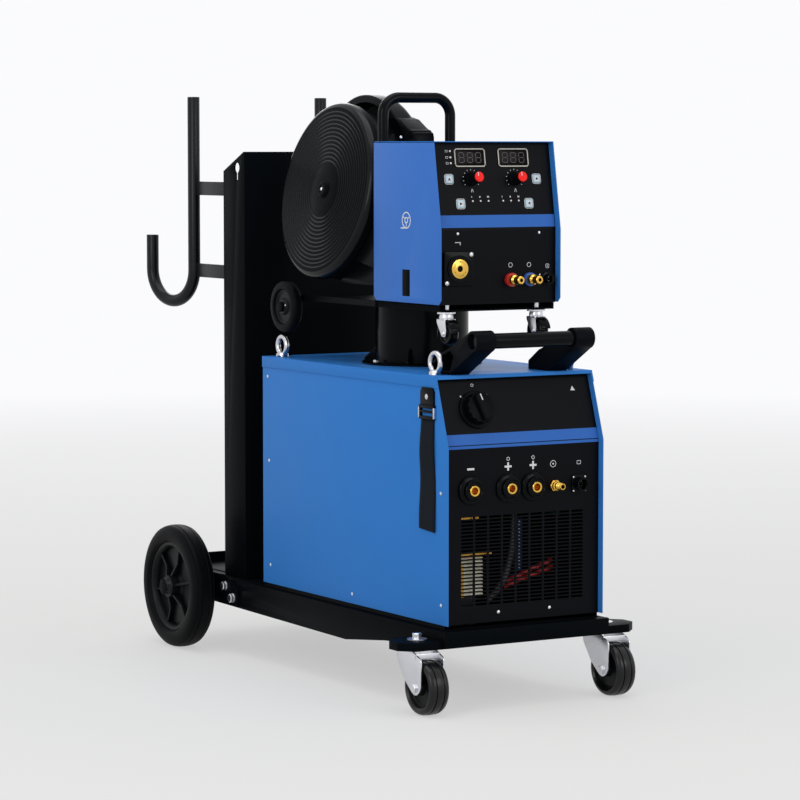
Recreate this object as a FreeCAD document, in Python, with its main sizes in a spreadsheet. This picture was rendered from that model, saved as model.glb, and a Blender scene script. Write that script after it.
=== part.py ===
import FreeCAD, Part
import math
import os
import Sketcher
from types import SimpleNamespace

Vector = FreeCAD.Vector
Rotation = FreeCAD.Rotation

# A welding power source on a two-wheeled cart, with its wire feeder on a swivel post.
# X runs to the right seen from the front, Y to the rear and Z up.
# The origin is on the floor under the middle of the whole machine. Sizes are in millimetres.

doc = FreeCAD.newDocument("mig_welder_on_cart")
sheet = doc.addObject("Spreadsheet::Sheet", "sizes")
S = SimpleNamespace()
NODES = {}


class Size:
    """A length with the formula that its property is bound to."""

    def __init__(self, value, text):
        self.value = float(value)
        self.text = text

    def _join(self, other, sign, value):
        return Size(value, f"({self.text} {sign} {size(other).text})")

    def __add__(self, other):
        return self._join(other, "+", self.value + size(other).value)

    def __sub__(self, other):
        return self._join(other, "-", self.value - size(other).value)

    def __mul__(self, other):
        return self._join(other, "*", self.value * size(other).value)

    def __truediv__(self, other):
        return self._join(other, "/", self.value / size(other).value)

    def __radd__(self, other):
        return size(other) + self

    def __rsub__(self, other):
        return size(other) - self

    def __rmul__(self, other):
        return size(other) * self

    def __neg__(self):
        return Size(-self.value, f"(0 - {self.text})")


def size(number):
    """A plain number as a Size, so that both can stand in one formula."""
    if isinstance(number, Size):
        return number
    return Size(number, repr(float(number)))


def keep(values):
    """Write driving dimensions into the sheet, one row each, and keep them as S.name."""
    for alias, value in values.items():
        row = len(S.__dict__) + 1
        sheet.set(f"A{row}", alias)
        sheet.set(f"B{row}", str(value))
        sheet.setAlias(f"B{row}", alias)
        setattr(S, alias, Size(value, f"sizes.{alias}"))


def bind(obj, prop, formula):
    obj.setExpression(prop, size(formula).text)


def place(obj, x, y, z, rotation=None):
    """Put an object's own origin at a point, turned by a rotation."""
    point = [size(c) for c in (x, y, z)]
    base = Vector(*[c.value for c in point])
    obj.Placement = FreeCAD.Placement(base, rotation or Rotation())
    for axis, c in zip("xyz", point):
        bind(obj, f"Placement.Base.{axis}", c)
    return obj


ALONG = {
    "z": Rotation(),
    "-z": Rotation(Vector(1, 0, 0), 180),
    "x": Rotation(Vector(0, 1, 0), 90),
    "-x": Rotation(Vector(0, 1, 0), -90),
    "y": Rotation(Vector(1, 0, 0), -90),
    "-y": Rotation(Vector(1, 0, 0), 90),
}


def named(kind, name):
    return doc.addObject(kind, name)


def box(name, x, y, z):
    """A block between three pairs of coordinates."""
    obj = named("Part::Box", name)
    for prop, (low, high) in zip(("Length", "Width", "Height"), (x, y, z)):
        bind(obj, prop, size(high) - low)
    return place(obj, x[0], y[0], z[0])


def rod(name, along, start, radius, length):
    """A round bar from a start point along an axis."""
    obj = named("Part::Cylinder", name)
    bind(obj, "Radius", radius)
    bind(obj, "Height", length)
    rotation = ALONG[along] if isinstance(along, str) else along
    return place(obj, *start, rotation)


def ring(name, rotation, centre, radius, thickness, low=-180, high=180, sweep=360):
    """A torus, or the part of one that sweeps through an angle about its own Z."""
    obj = named("Part::Torus", name)
    bind(obj, "Radius1", radius)
    bind(obj, "Radius2", thickness)
    obj.Angle1 = low
    obj.Angle2 = high
    obj.Angle3 = sweep
    return place(obj, *centre, rotation)


def fuse(name, *parts):
    obj = named("Part::MultiFuse", name)
    obj.Shapes = list(parts)
    obj.Refine = True
    return obj


def cut(name, base, *tools):
    obj = named("Part::Cut", name)
    obj.Base = base
    obj.Tool = tools[0] if len(tools) == 1 else fuse(name + "_tools", *tools)
    obj.Refine = True
    return obj


def group(name, *parts):
    """Separate like pieces kept in one node."""
    obj = named("Part::Compound", name)
    obj.Links = list(parts)
    return obj


def node(name, obj):
    """Keep an object as one of the machine's pieces."""
    obj.Label = name if obj.Name == name else name + "_piece"
    NODES[name] = obj
    return obj


def mirror_x(name, source):
    """The same piece on the other side of the machine's centre plane."""
    obj = named("Part::Mirroring", name)
    obj.Source = source
    obj.Normal = Vector(1, 0, 0)
    return obj


def plane(body, role):
    return next(f for f in body.Origin.OriginFeatures if f.Role == role)


def circle(u, v, radius):
    return ("circle", u, v, radius)


def rectangle(u, v):
    return [(u[0], v[0]), (u[1], v[0]), (u[1], v[1]), (u[0], v[1])]


def sketch(body, name, role, outlines, offset=0):
    """Closed outlines on one of a body's own planes, each corner dimensioned from the origin."""
    drawing = body.newObject("Sketcher::SketchObject", name)
    drawing.AttachmentSupport = [(plane(body, role), "")]
    drawing.MapMode = "FlatFace"
    bind(drawing, "AttachmentOffset.Base.z", offset)
    for outline in outlines:
        if outline[0] == "circle":
            draw_circle(drawing, *outline[1:])
        else:
            draw_polygon(drawing, outline)
    return drawing


def hold(drawing, kind, *where):
    """Add a dimension and bind it to its formula. Its last argument is the Size."""
    formula = size(where[-1])
    number = drawing.addConstraint(Sketcher.Constraint(kind, *where[:-1], formula.value))
    drawing.setExpression(f"Constraints[{number}]", formula.text)


def draw_circle(drawing, u, v, radius):
    u, v, radius = size(u), size(v), size(radius)
    centre = Vector(u.value, v.value, 0)
    curve = drawing.addGeometry(Part.Circle(centre, Vector(0, 0, 1), radius.value), False)
    hold(drawing, "Radius", curve, radius)
    hold(drawing, "DistanceX", -1, 1, curve, 3, u)
    hold(drawing, "DistanceY", -1, 1, curve, 3, v)


def draw_polygon(drawing, corners):
    corners = [(size(u), size(v)) for u, v in corners]
    points = [Vector(u.value, v.value, 0) for u, v in corners]
    lines = []
    for start, end in zip(points, points[1:] + points[:1]):
        lines.append(drawing.addGeometry(Part.LineSegment(start, end), False))
    for line, after in zip(lines, lines[1:] + lines[:1]):
        drawing.addConstraint(Sketcher.Constraint("Coincident", line, 2, after, 1))
    for line, (u, v) in zip(lines, corners):
        hold(drawing, "DistanceX", -1, 1, line, 1, u)
        hold(drawing, "DistanceY", -1, 1, line, 1, v)


def body(name):
    return named("PartDesign::Body", name)


# A sketch on XZ_Plane looks along +Y, so its own normal points to the front.
FACING = {"XY_Plane": 1, "YZ_Plane": 1, "XZ_Plane": -1}


def pad(owner, name, role, low, high, *outlines):
    """Material between two heights over one of the body's planes."""
    low, high = (low, high) if FACING[role] > 0 else (-size(high), -size(low))
    drawing = sketch(owner, name + "_sketch", role, outlines, low)
    feature = owner.newObject("PartDesign::Pad", name)
    feature.Profile = drawing
    bind(feature, "Length", size(high) - low)
    return feature


def pocket(owner, name, role, low, high, *outlines):
    """A hole between two heights over one of the body's planes."""
    low, high = (low, high) if FACING[role] > 0 else (-size(high), -size(low))
    drawing = sketch(owner, name + "_sketch", role, outlines, high)
    feature = owner.newObject("PartDesign::Pocket", name)
    feature.Profile = drawing
    bind(feature, "Length", size(high) - low)
    return feature


def mirrored(owner, name, *features):
    """Repeat features on the other side of the body's YZ plane."""
    feature = owner.newObject("PartDesign::Mirrored", name)
    feature.Originals = list(features)
    feature.MirrorPlane = (plane(owner, "YZ_Plane"), [""])
    owner.Tip = feature
    return feature


def slab(name, role, low, high, *outlines):
    """A body made by one pad."""
    owner = body(name)
    pad(owner, name + "_pad", role, low, high, *outlines)
    return owner


def turned(name, profile):
    """A body turned about its own Z axis from (radius, height) points."""
    owner = body(name)
    drawing = sketch(owner, name + "_sketch", "XZ_Plane", [profile])
    feature = owner.newObject("PartDesign::Revolution", name + "_turn")
    feature.Profile = drawing
    feature.ReferenceAxis = (drawing, ["V_Axis"])
    feature.Angle = 360
    return owner


def hexagon(name, along, start, across_flats, length):
    """A hexagon bar, such as a bolt head or a nut."""
    obj = named("Part::Prism", name)
    obj.Polygon = 6
    bind(obj, "Circumradius", size(across_flats) / math.sqrt(3))
    bind(obj, "Height", length)
    return place(obj, *start, ALONG[along])


# How far the machine reaches from the power source's front face, which sits at front_y.
# Set-backs below are measured to the rear from that face.
machine_sizes = {
    "front_y": -570,
    "sliding_gap": 0.3,
    "running_gap": 0.06,
    "sheet_gap": 0.2,
}
keep(machine_sizes)


def back(distance):
    return S.front_y + distance


# The cart's tray: a folded sheet floor with side rails that get deeper to the rear,
# a front lip, and a rear end between the wheels, where a gas bottle stands on a raised field.
tray_sizes = {
    "tray_width": 356,
    "tray_sheet": 3,
    "tray_rise": 50,
    "caster_wheel_radius": 50,
    "axle_setback": 955,
    "tray_lip_reach": 6,
    "tray_lip_height": 30,
    "rail_front_depth": 32,
    "rail_deep_depth": 60,
    "rail_deep_setback": 355,
    "rail_rise_setback": 212,
    "rail_rise_depth": 43,
    "rail_rear_depth": 53,
    "rail_rear_lead": 50,
    "platform_step": 10,
    "platform_reach": 123,
    "platform_lip": 22,
    "wing_reach": 78,
    "wing_setback": 5,
    "wing_depth": 80,
    "wing_drop": 17,
    "wing_height": 15,
    "wing_sheet": 4,
    "wing_chamfer": 25,
}
keep(tray_sizes)
tray_top = S.caster_wheel_radius * 2 + S.tray_rise
rail_rear_setback = S.axle_setback - S.rail_rear_lead
platform_setback = S.axle_setback + S.platform_reach
tray_half = S.tray_width / 2
platform_half = tray_half - S.platform_step
tray_front = back(-S.tray_lip_reach)
tray_floor = tray_top - S.tray_sheet
wing_top = tray_top - S.wing_drop
wing_front = back(S.wing_setback)
wing_rear = wing_front + S.wing_depth
wing_under = wing_top - S.wing_sheet

tray = body("cart_tray")
pad(tray, "tray_floor", "XY_Plane", tray_floor, tray_top, [
    (-tray_half, tray_front),
    (tray_half, tray_front),
    (tray_half, back(rail_rear_setback)),
    (platform_half, back(rail_rear_setback)),
    (platform_half, back(platform_setback)),
    (-platform_half, back(platform_setback)),
    (-platform_half, back(rail_rear_setback)),
    (-tray_half, back(rail_rear_setback)),
])
notch_top = wing_top + S.sheet_gap
rail = pad(tray, "tray_rail", "YZ_Plane", -tray_half, -tray_half + S.tray_sheet, [
    (tray_front, tray_floor + S.tray_sheet / 2),
    (tray_front, tray_top - S.tray_lip_height),
    (wing_front - S.sheet_gap, tray_top - S.tray_lip_height),
    (wing_front - S.sheet_gap, notch_top),
    (wing_rear + S.sheet_gap, notch_top),
    (wing_rear + S.sheet_gap, tray_top - S.rail_front_depth),
    (back(S.rail_rise_setback), tray_top - S.rail_rise_depth),
    (back(S.rail_deep_setback), tray_top - S.rail_deep_depth),
    (back(rail_rear_setback), tray_top - S.rail_rear_depth),
    (back(rail_rear_setback), tray_floor + S.tray_sheet / 2),
])
mirrored(tray, "tray_rails", rail)
pad(tray, "tray_front_lip", "XZ_Plane", tray_front, tray_front + S.tray_sheet, rectangle(
    (-tray_half, tray_half), (tray_top - S.tray_lip_height, tray_floor + S.tray_sheet / 2)))
platform_rear = back(platform_setback)
pad(tray, "tray_rear_lip", "XZ_Plane", platform_rear - S.tray_sheet, platform_rear, rectangle(
    (-platform_half, platform_half),
    (tray_floor + S.tray_sheet / 2, tray_top + S.platform_lip)))

# The front crossmember: a pressed channel under the tray whose ends stand out as wings
# with cut corners. A caster hangs under each wing on one stem bolt.
caster_sizes = {
    "caster_inset": 53,
    "caster_setback": 50,
    "caster_trail": 34,
    "caster_tread": 32,
    "caster_hub_width": 36,
    "caster_axle_radius": 5,
    "stem_radius": 6,
    "stem_head": 10,
    "fork_sheet": 3,
    "fork_ring_radius": 24,
    "fork_ring_height": 7,
    "fork_leg_width": 26,
    "fork_leg_top": 20,
}
keep(caster_sizes)
caster_y = back(S.caster_setback)
wing_half = tray_half + S.wing_reach
caster_x = wing_half - S.caster_inset


def wing_outline(inset):
    """The crossmember's plan, drawn in by an inset."""
    half = wing_half - inset
    low = wing_front + inset
    high = wing_rear - inset
    corner = S.wing_chamfer
    return [
        (-half, low + corner), (-half + corner, low), (half - corner, low), (half, low + corner),
        (half, high - corner), (half - corner, high), (-half + corner, high), (-half, high - corner),
    ]


wing = body("front_crossmember")
pad(wing, "wing_block", "XY_Plane", wing_top - S.wing_height, wing_top, wing_outline(0))
pocket(wing, "wing_hollow", "XY_Plane", wing_top - S.wing_height, wing_under,
       wing_outline(S.wing_sheet))
pocket(wing, "stem_holes", "XY_Plane", wing_under, wing_top, *[
    circle(side * caster_x, caster_y, S.stem_radius + S.sheet_gap) for side in (-1, 1)])

# Each caster: a pressed zinc fork with its swivel ring, and a solid rubber wheel on a bolt.
fork_top = wing_under - S.sliding_gap
fork_bridge = fork_top - S.fork_ring_height
leg_inner = S.caster_hub_width / 2 + S.sliding_gap
leg_outer = leg_inner + S.fork_sheet
axle_y = caster_y - S.caster_trail
axle_z = S.caster_wheel_radius
for side, word in ((-1, "left"), (1, "right")):
    tag = f"caster_{word}"
    x = side * caster_x
    swivel = rod(f"{tag}_ring", "z", (x, caster_y, fork_bridge), S.fork_ring_radius, S.fork_ring_height)
    bridge = rod(f"{tag}_bridge", "z", (x, caster_y, fork_bridge - S.fork_sheet), leg_outer + S.fork_sheet,
                 S.fork_sheet)
    legs = []
    for leg in (-1, 1):
        inner = x + leg * leg_inner
        outer = x + leg * leg_outer
        low, high = (inner, outer) if leg > 0 else (outer, inner)
        half = S.fork_leg_width / 2
        legs.append(slab(f"{tag}_leg_{'ab'[leg > 0]}", "YZ_Plane", low, high, [
            (caster_y + S.fork_leg_top, fork_bridge),
            (caster_y + S.fork_leg_top, fork_bridge - half),
            (axle_y + half, axle_z - half / 2),
            (axle_y + half / 2, axle_z - half),
            (axle_y - half / 2, axle_z - half),
            (axle_y - half, axle_z),
            (caster_y - S.fork_leg_top, fork_bridge - half),
            (caster_y - S.fork_leg_top, fork_bridge),
        ]))
    pin_end = leg_outer + S.caster_axle_radius
    pin = rod(f"{tag}_pin", "x", (x - pin_end, axle_y, axle_z), S.caster_axle_radius, pin_end * 2)
    nuts = [hexagon(f"{tag}_nut_{i}", "x", (start, axle_y, axle_z), S.caster_axle_radius * 3,
                    S.caster_axle_radius) for i, start in enumerate((x - pin_end, x + leg_outer))]
    frame = fuse(f"{tag}_frame", swivel, bridge, pin, *legs, *nuts)
    bore = rod(f"{tag}_bore", "z", (x, caster_y, fork_bridge - S.fork_sheet),
               S.stem_radius + S.running_gap, S.fork_ring_height + S.fork_sheet)
    node(f"caster_fork_{word}", cut(f"caster_fork_{word}", frame, bore))
    hub = S.caster_axle_radius + S.running_gap
    half_hub = S.caster_hub_width / 2
    half_tread = S.caster_tread / 2
    wheel = turned(f"caster_wheel_{word}", [
        (hub, -half_hub), (hub + 7, -half_hub), (hub + 9, -half_tread + 6),
        (S.caster_wheel_radius - 12, -half_tread + 6), (S.caster_wheel_radius - 10, -half_tread),
        (S.caster_wheel_radius - 3, -half_tread), (S.caster_wheel_radius, -half_tread + 6),
        (S.caster_wheel_radius, half_tread - 6), (S.caster_wheel_radius - 3, half_tread),
        (S.caster_wheel_radius - 10, half_tread), (S.caster_wheel_radius - 12, half_tread - 6),
        (hub + 9, half_tread - 6), (hub + 7, half_hub), (hub, half_hub),
    ])
    place(wheel, x, axle_y, axle_z, ALONG["x"])
    node(f"caster_wheel_{word}", wheel)
node("cart_tray", tray)

# The rear axle: a steel bar welded through two bracket plates that bolt to the tray's rails,
# with a collar inside each wheel and a cap nut outside it.
axle_sizes = {
    "wheel_radius": 125,
    "wheel_gap": 50,
    "wheel_hub_width": 54,
    "wheel_tread": 50,
    "axle_radius": 10,
    "axle_collar_radius": 16,
    "axle_cap": 9,
    "bracket_sheet": 4,
    "bracket_lead": 169,
    "bracket_rear_reach": 30,
    "bracket_rise": 7,
    "bracket_drop": 27,
    "bracket_bolt_radius": 5,
    "upper_bolt_lead": 117,
    "upper_bolt_drop": 15,
    "lower_bolt_lead": 150,
    "lower_bolt_drop": 36,
}
keep(axle_sizes)
lower_bolt_setback = S.axle_setback - S.lower_bolt_lead
upper_bolt_setback = S.axle_setback - S.upper_bolt_lead
bracket_front_setback = S.axle_setback - S.bracket_lead
wheel_x = tray_half + S.wheel_gap
rear_y = back(S.axle_setback)
rear_z = S.wheel_radius
hub_inner = wheel_x - S.wheel_hub_width / 2
hub_outer = wheel_x + S.wheel_hub_width / 2
bracket_outer = tray_half + S.bracket_sheet
bracket_bolts = [(back(upper_bolt_setback), tray_top - S.upper_bolt_drop),
                 (back(lower_bolt_setback), tray_top - S.lower_bolt_drop)]
axle_parts = []
for side, word in ((-1, "left"), (1, "right")):
    edge = [side * tray_half, side * bracket_outer]
    low, high = edge if side > 0 else edge[::-1]
    plate = slab(f"axle_bracket_{word}", "YZ_Plane", low, high, [
        (back(bracket_front_setback), rear_z - S.bracket_drop),
        (back(bracket_front_setback), rear_z + S.bracket_rise),
        (back(upper_bolt_setback), tray_top + S.bracket_rise),
        (rear_y + S.bracket_rear_reach / 2, tray_top + S.bracket_rise),
        (rear_y + S.bracket_rear_reach, rear_z + S.bracket_rise),
        (rear_y + S.bracket_rear_reach, rear_z - S.bracket_rise),
        (rear_y + S.bracket_rear_reach / 2, rear_z - S.bracket_drop),
    ], *[circle(y, z, S.bracket_bolt_radius + S.sheet_gap) for y, z in bracket_bolts])
    collar_length = hub_inner - S.sliding_gap - bracket_outer
    start = bracket_outer if side > 0 else -bracket_outer - collar_length
    collar = rod(f"axle_collar_{word}", "x", (start, rear_y, rear_z), S.axle_collar_radius, collar_length)
    cap_start = hub_outer + S.sliding_gap if side > 0 else -hub_outer - S.sliding_gap - S.axle_cap
    cap = rod(f"axle_cap_{word}", "x", (cap_start, rear_y, rear_z), S.axle_collar_radius, S.axle_cap)
    axle_parts += [plate, collar, cap]
axle_end = hub_outer + S.sliding_gap + S.axle_cap
axle_bar = rod("axle_bar", "x", (-axle_end, rear_y, rear_z), S.axle_radius, axle_end * 2)
node("rear_axle", fuse("rear_axle", axle_bar, *axle_parts))

# A rear wheel: a dished plastic hub with a solid rubber tyre moulded on it.
for side, word in ((-1, "left"), (1, "right")):
    hub = S.axle_radius + S.running_gap
    half_hub = S.wheel_hub_width / 2
    half_tread = S.wheel_tread / 2
    wheel = turned(f"rear_wheel_{word}", [
        (hub, -half_hub), (hub + 12, -half_hub), (hub + 16, -8), (S.wheel_radius - 45, -8),
        (S.wheel_radius - 35, -half_tread + 5), (S.wheel_radius - 28, -half_tread),
        (S.wheel_radius - 8, -half_tread), (S.wheel_radius, -half_tread + 10),
        (S.wheel_radius, half_tread - 10), (S.wheel_radius - 8, half_tread),
        (S.wheel_radius - 28, half_tread), (S.wheel_radius - 35, half_tread - 5),
        (S.wheel_radius - 45, 8), (hub + 16, 8), (hub + 12, half_hub), (hub, half_hub),
    ])
    place(wheel, side * wheel_x, rear_y, rear_z, ALONG["x"])
    node(f"rear_wheel_{word}", wheel)

# The bottle column: a tall folded sheet, open to the rear, with a keyhole for the bottle's
# chain in each flange and a foot bolted to the tray.
column_sizes = {
    "column_width": 310,
    "column_sheet": 3,
    "column_setback": 800,
    "column_depth": 90,
    "column_height": 860,
    "column_slope": 39,
    "column_foot": 50,
    "keyhole_setback": 32,
    "keyhole_radius": 10.5,
    "keyhole_slot": 4,
    "keyhole_drop": 32,
    "keyhole_length": 24,
    "foot_bolt_x": 100,
    "stand_gap": 6,
    "stand_margin": 28,
    "stand_rear_margin": 10,
    "stand_rise": 2,
}
keep(column_sizes)
column_top = tray_top + S.column_height
column_half = S.column_width / 2
column_front = back(S.column_setback)
column_rear = column_front + S.column_depth
keyhole_y = column_front + S.keyhole_setback
keyhole_z = column_top - S.keyhole_drop
foot_bolt_y = column_front + S.column_foot / 2
column = body("column")
pad(column, "column_web", "XZ_Plane", column_front, column_front + S.column_sheet,
    rectangle((-column_half, column_half), (tray_top, column_top)))
flange = pad(column, "column_flange", "YZ_Plane", -column_half, -column_half + S.column_sheet, [
    (column_front + S.column_sheet / 2, tray_top),
    (column_rear, tray_top),
    (column_rear, column_top - S.column_slope),
    (column_front + S.column_sheet, column_top),
    (column_front + S.column_sheet / 2, column_top),
])
keyhole = pocket(column, "keyhole_round", "YZ_Plane", -column_half, -column_half + S.column_sheet,
                 circle(keyhole_y, keyhole_z, S.keyhole_radius))
keyslot = pocket(column, "keyhole_slot", "YZ_Plane", -column_half, -column_half + S.column_sheet,
                 rectangle((keyhole_y - S.keyhole_slot, keyhole_y + S.keyhole_slot),
                           (keyhole_z - S.keyhole_length, keyhole_z)))
mirrored(column, "column_flanges", flange, keyhole, keyslot)
pad(column, "column_foot_plate", "XY_Plane", tray_top, tray_top + S.column_sheet,
    rectangle((-column_half + S.column_sheet, column_half - S.column_sheet),
              (column_front + S.column_sheet / 2, column_front + S.column_foot)))
foot_holes = [circle(side * S.foot_bolt_x, foot_bolt_y, S.bracket_bolt_radius + S.sheet_gap)
              for side in (-1, 1)]
pocket(column, "column_foot_holes", "XY_Plane", tray_top, tray_top + S.column_sheet, *foot_holes)
pocket(tray, "tray_foot_holes", "XY_Plane", tray_floor, tray_top, *foot_holes)
pad(tray, "bottle_stand", "XY_Plane", tray_top - S.tray_sheet / 2, tray_top + S.stand_rise, rectangle(
    (-platform_half + S.stand_margin, platform_half - S.stand_margin),
    (column_front + S.column_foot + S.stand_gap, platform_rear - S.stand_rear_margin)))
rail_holes = [circle(y, z, S.bracket_bolt_radius + S.sheet_gap) for y, z in bracket_bolts]
for side, word in ((-1, "left"), (1, "right")):
    low = -tray_half if side < 0 else tray_half - S.tray_sheet
    pocket(tray, f"rail_holes_{word}", "YZ_Plane", low, low + S.tray_sheet, *rail_holes)
node("column", column)

# The cable hooks: a bent bar in the shape of a J on two flat straps inside the column's flanges.
# The hook's plane is splayed outwards.
hook_sizes = {
    "hook_gap": 142,
    "hook_radius": 12.5,
    "hook_bend": 66,
    "hook_bend_rise": 617,
    "hook_rise": 112,
    "hook_tip": 70,
    "hook_splay": 14,
    "strap_sheet": 5,
    "strap_height": 28,
    "strap_lap": 45,
    "upper_strap_drop": 89,
    "lower_strap_drop": 14,
}
keep(hook_sizes)
upper_strap = column_top - S.upper_strap_drop
hook_top = column_top + S.hook_rise
hook_bend_height = tray_top + S.hook_bend_rise
lower_strap = hook_bend_height - S.lower_strap_drop
hook_setback = S.column_setback + S.column_depth + S.hook_gap
hook_x = column_half - S.column_sheet - S.strap_sheet / 2
hook_y = back(hook_setback)
splay = math.radians(S.hook_splay.value)
tip_x = hook_x + S.hook_bend * 2 * math.sin(splay)
tip_y = hook_y + S.hook_bend * 2 * math.cos(splay)
bend_turn = Rotation(Vector(0, 0, 1), -S.hook_splay.value).multiply(
    Rotation(Vector(0, 1, 0), 90)).multiply(Rotation(Vector(0, 0, 1), 180))
hook_parts = [
    rod("hook_upright", "z", (hook_x, hook_y, hook_bend_height), S.hook_radius,
        hook_top - hook_bend_height),
    rod("hook_arm", "z", (tip_x, tip_y, hook_bend_height), S.hook_radius, S.hook_tip),
]
hook_bow = ring("hook_bow", Rotation(), (0, 0, 0), S.hook_bend, S.hook_radius, sweep=180)
bow_turn = Rotation(Vector(0, 0, 1), 90 - S.hook_splay.value).multiply(Rotation(Vector(1, 0, 0), -90))
place(hook_bow, (hook_x + tip_x) / 2, (hook_y + tip_y) / 2, hook_bend_height, bow_turn)
for word, height in (("upper", upper_strap), ("lower", lower_strap)):
    hook_parts.append(box(f"hook_strap_{word}",
                          (hook_x - S.strap_sheet / 2, hook_x + S.strap_sheet / 2),
                          (column_rear - S.strap_lap, hook_y), (height, height + S.strap_height)))
hook_right = fuse("hook_right", hook_bow, *hook_parts)
node("cable_hooks", group("cable_hooks", mirror_x("hook_left", hook_right), hook_right))

# Hexagon bolts: the casters' stems, the axle brackets' bolts and the column's foot bolts.
bolt_sizes = {
    "bolt_head": 7,
    "bolt_grip": 10,
    "washer": 1.5,
    "stem_nut": 5,
}
keep(bolt_sizes)
bolts = []
for side, word in ((-1, "left"), (1, "right")):
    x = side * caster_x
    stem_foot = fork_bridge - S.fork_sheet - S.sliding_gap
    stem = fuse(
        f"stem_bolt_{word}",
        rod(f"stem_shank_{word}", "z", (x, caster_y, stem_foot - S.stem_nut), S.stem_radius,
            wing_top - stem_foot + S.stem_nut),
        hexagon(f"stem_head_{word}", "z", (x, caster_y, wing_top), S.stem_radius * 3, S.stem_head),
        rod(f"stem_nut_{word}", "z", (x, caster_y, stem_foot - S.stem_nut), S.stem_radius * 1.5,
            S.stem_nut))
    bolts.append(stem)
    foot_x = side * S.foot_bolt_x
    bolts.append(fuse(
        f"foot_bolt_{word}",
        rod(f"foot_shank_{word}", "z", (foot_x, foot_bolt_y, tray_floor - S.bolt_grip),
            S.bracket_bolt_radius, S.bolt_grip + S.tray_sheet + S.column_sheet),
        hexagon(f"foot_head_{word}", "z", (foot_x, foot_bolt_y, tray_top + S.column_sheet),
                S.bracket_bolt_radius * 3.2, S.bolt_head)))
    for number, (y, z) in enumerate(bracket_bolts):
        reach = S.bracket_sheet + S.tray_sheet + S.bolt_grip
        outwards = "x" if side > 0 else "-x"
        bolts.append(fuse(
            f"bracket_bolt_{word}_{number}",
            rod(f"bracket_shank_{word}_{number}", outwards, (side * (bracket_outer - reach), y, z),
                S.bracket_bolt_radius, reach),
            rod(f"bracket_washer_{word}_{number}", outwards, (side * bracket_outer, y, z),
                S.bracket_bolt_radius * 2, S.washer),
            hexagon(f"bracket_head_{word}_{number}", outwards,
                    (side * (bracket_outer + S.washer), y, z), S.bracket_bolt_radius * 3.2, S.bolt_head)))
node("cart_bolts", group("cart_bolts", *bolts))
node("front_crossmember", wing)

# The power source: a base pan, two side panels whose front edges lean back at the top,
# a top cover that laps over them, and black front and rear panels set in between.
case_sizes = {
    "source_width": 336.6,
    "source_length": 700,
    "panel_rise": 8.7,
    "slant_height": 125.4,
    "panel_straight": 323.7,
    "slant_setback": 41.6,
    "panel_sheet": 1.5,
    "front_recess": 14,
    "front_sheet": 2,
    "cover_flange": 21,
    "cover_lip": 6,
    "pan_sheet": 2,
    "pan_flange": 24,
}
keep(case_sizes)
panel_foot = tray_top + S.panel_rise
slant_foot = panel_foot + S.panel_straight
panel_top = slant_foot + S.slant_height
side_half = S.source_width / 2
side_inner = side_half - S.panel_sheet
source_front = back(0)
source_rear = back(S.source_length)
cover_under = panel_top - S.panel_sheet
lean = S.slant_setback / (panel_top - slant_foot)
lean_angle = math.atan(lean.value)


def side_profile(foot, top):
    """A side panel's outline, from the front edge round to the rear."""
    return [
        (source_front, foot), (source_front, slant_foot),
        (source_front + (size(top) - slant_foot) * lean, top),
        (source_rear, top), (source_rear, foot),
    ]


pan_half = side_inner - S.sheet_gap
pan_front = source_front + S.front_recess
pan = body("base_pan")
pad(pan, "pan_floor", "XY_Plane", tray_top, tray_top + S.pan_sheet,
    rectangle((-pan_half, pan_half), (pan_front, source_rear)))
pan_wall = pad(pan, "pan_wall", "YZ_Plane", -pan_half, -pan_half + S.pan_sheet, rectangle(
    (pan_front + S.front_sheet + S.sheet_gap, source_rear - S.front_sheet - S.sheet_gap),
    (tray_top + S.pan_sheet / 2, tray_top + S.pan_flange)))
mirrored(pan, "pan_walls", pan_wall)
node("base_pan", pan)

side_panels = {}
for side, word in ((-1, "left"), (1, "right")):
    low = -side_half if side < 0 else side_inner
    panel = slab(f"{word}_side_panel", "YZ_Plane", low, low + S.panel_sheet,
                 side_profile(panel_foot, cover_under))
    side_panels[word] = node(f"{word}_side_panel", panel)

# The top cover, with its side flanges outside the side panels and holes for four lifting eyes.
cover_sizes = {
    "eye_inset": 25.3,
    "eye_front_setback": 85,
    "eye_rear_inset": 35,
    "eye_shank": 5,
    "eye_collar": 12.5,
    "eye_collar_height": 7,
    "eye_ring": 17.5,
    "eye_wire": 5,
    "eye_depth": 16,
}
keep(cover_sizes)
eye_rear_setback = S.source_length - S.eye_rear_inset
eye_spots = [(side * (side_half - S.eye_inset), back(setback))
             for side in (-1, 1) for setback in (S.eye_front_setback, eye_rear_setback)]
cover_front = source_front + S.slant_setback
cover_half = side_half + S.panel_sheet
cover = body("top_cover")
pad(cover, "cover_plate", "XY_Plane", cover_under, panel_top,
    rectangle((-cover_half, cover_half), (cover_front, source_rear)))
cover_edge = panel_top - S.cover_flange
cover_side = pad(cover, "cover_flange", "YZ_Plane", -cover_half, -side_half, [
    (cover_front - S.cover_flange * lean, cover_edge), (source_rear, cover_edge),
    (source_rear, cover_under + S.panel_sheet / 2),
    (cover_front, cover_under + S.panel_sheet / 2)])
mirrored(cover, "cover_flanges", cover_side)
lip_drop = S.cover_lip * lean
pad(cover, "cover_front_lip", "YZ_Plane", -side_inner + S.sheet_gap, side_inner - S.sheet_gap, [
    (cover_front, panel_top), (cover_front - lip_drop, panel_top - S.cover_lip),
    (cover_front - lip_drop + S.panel_sheet, panel_top - S.cover_lip),
    (cover_front + S.panel_sheet, cover_under), (cover_front + S.cover_lip, cover_under),
    (cover_front + S.cover_lip, cover_under + S.panel_sheet / 2),
    (cover_front + S.panel_sheet, panel_top - S.panel_sheet / 4)])
pocket(cover, "eye_holes", "XY_Plane", cover_under, panel_top,
       *[circle(x, y, S.eye_shank + S.sheet_gap) for x, y in eye_spots])
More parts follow.
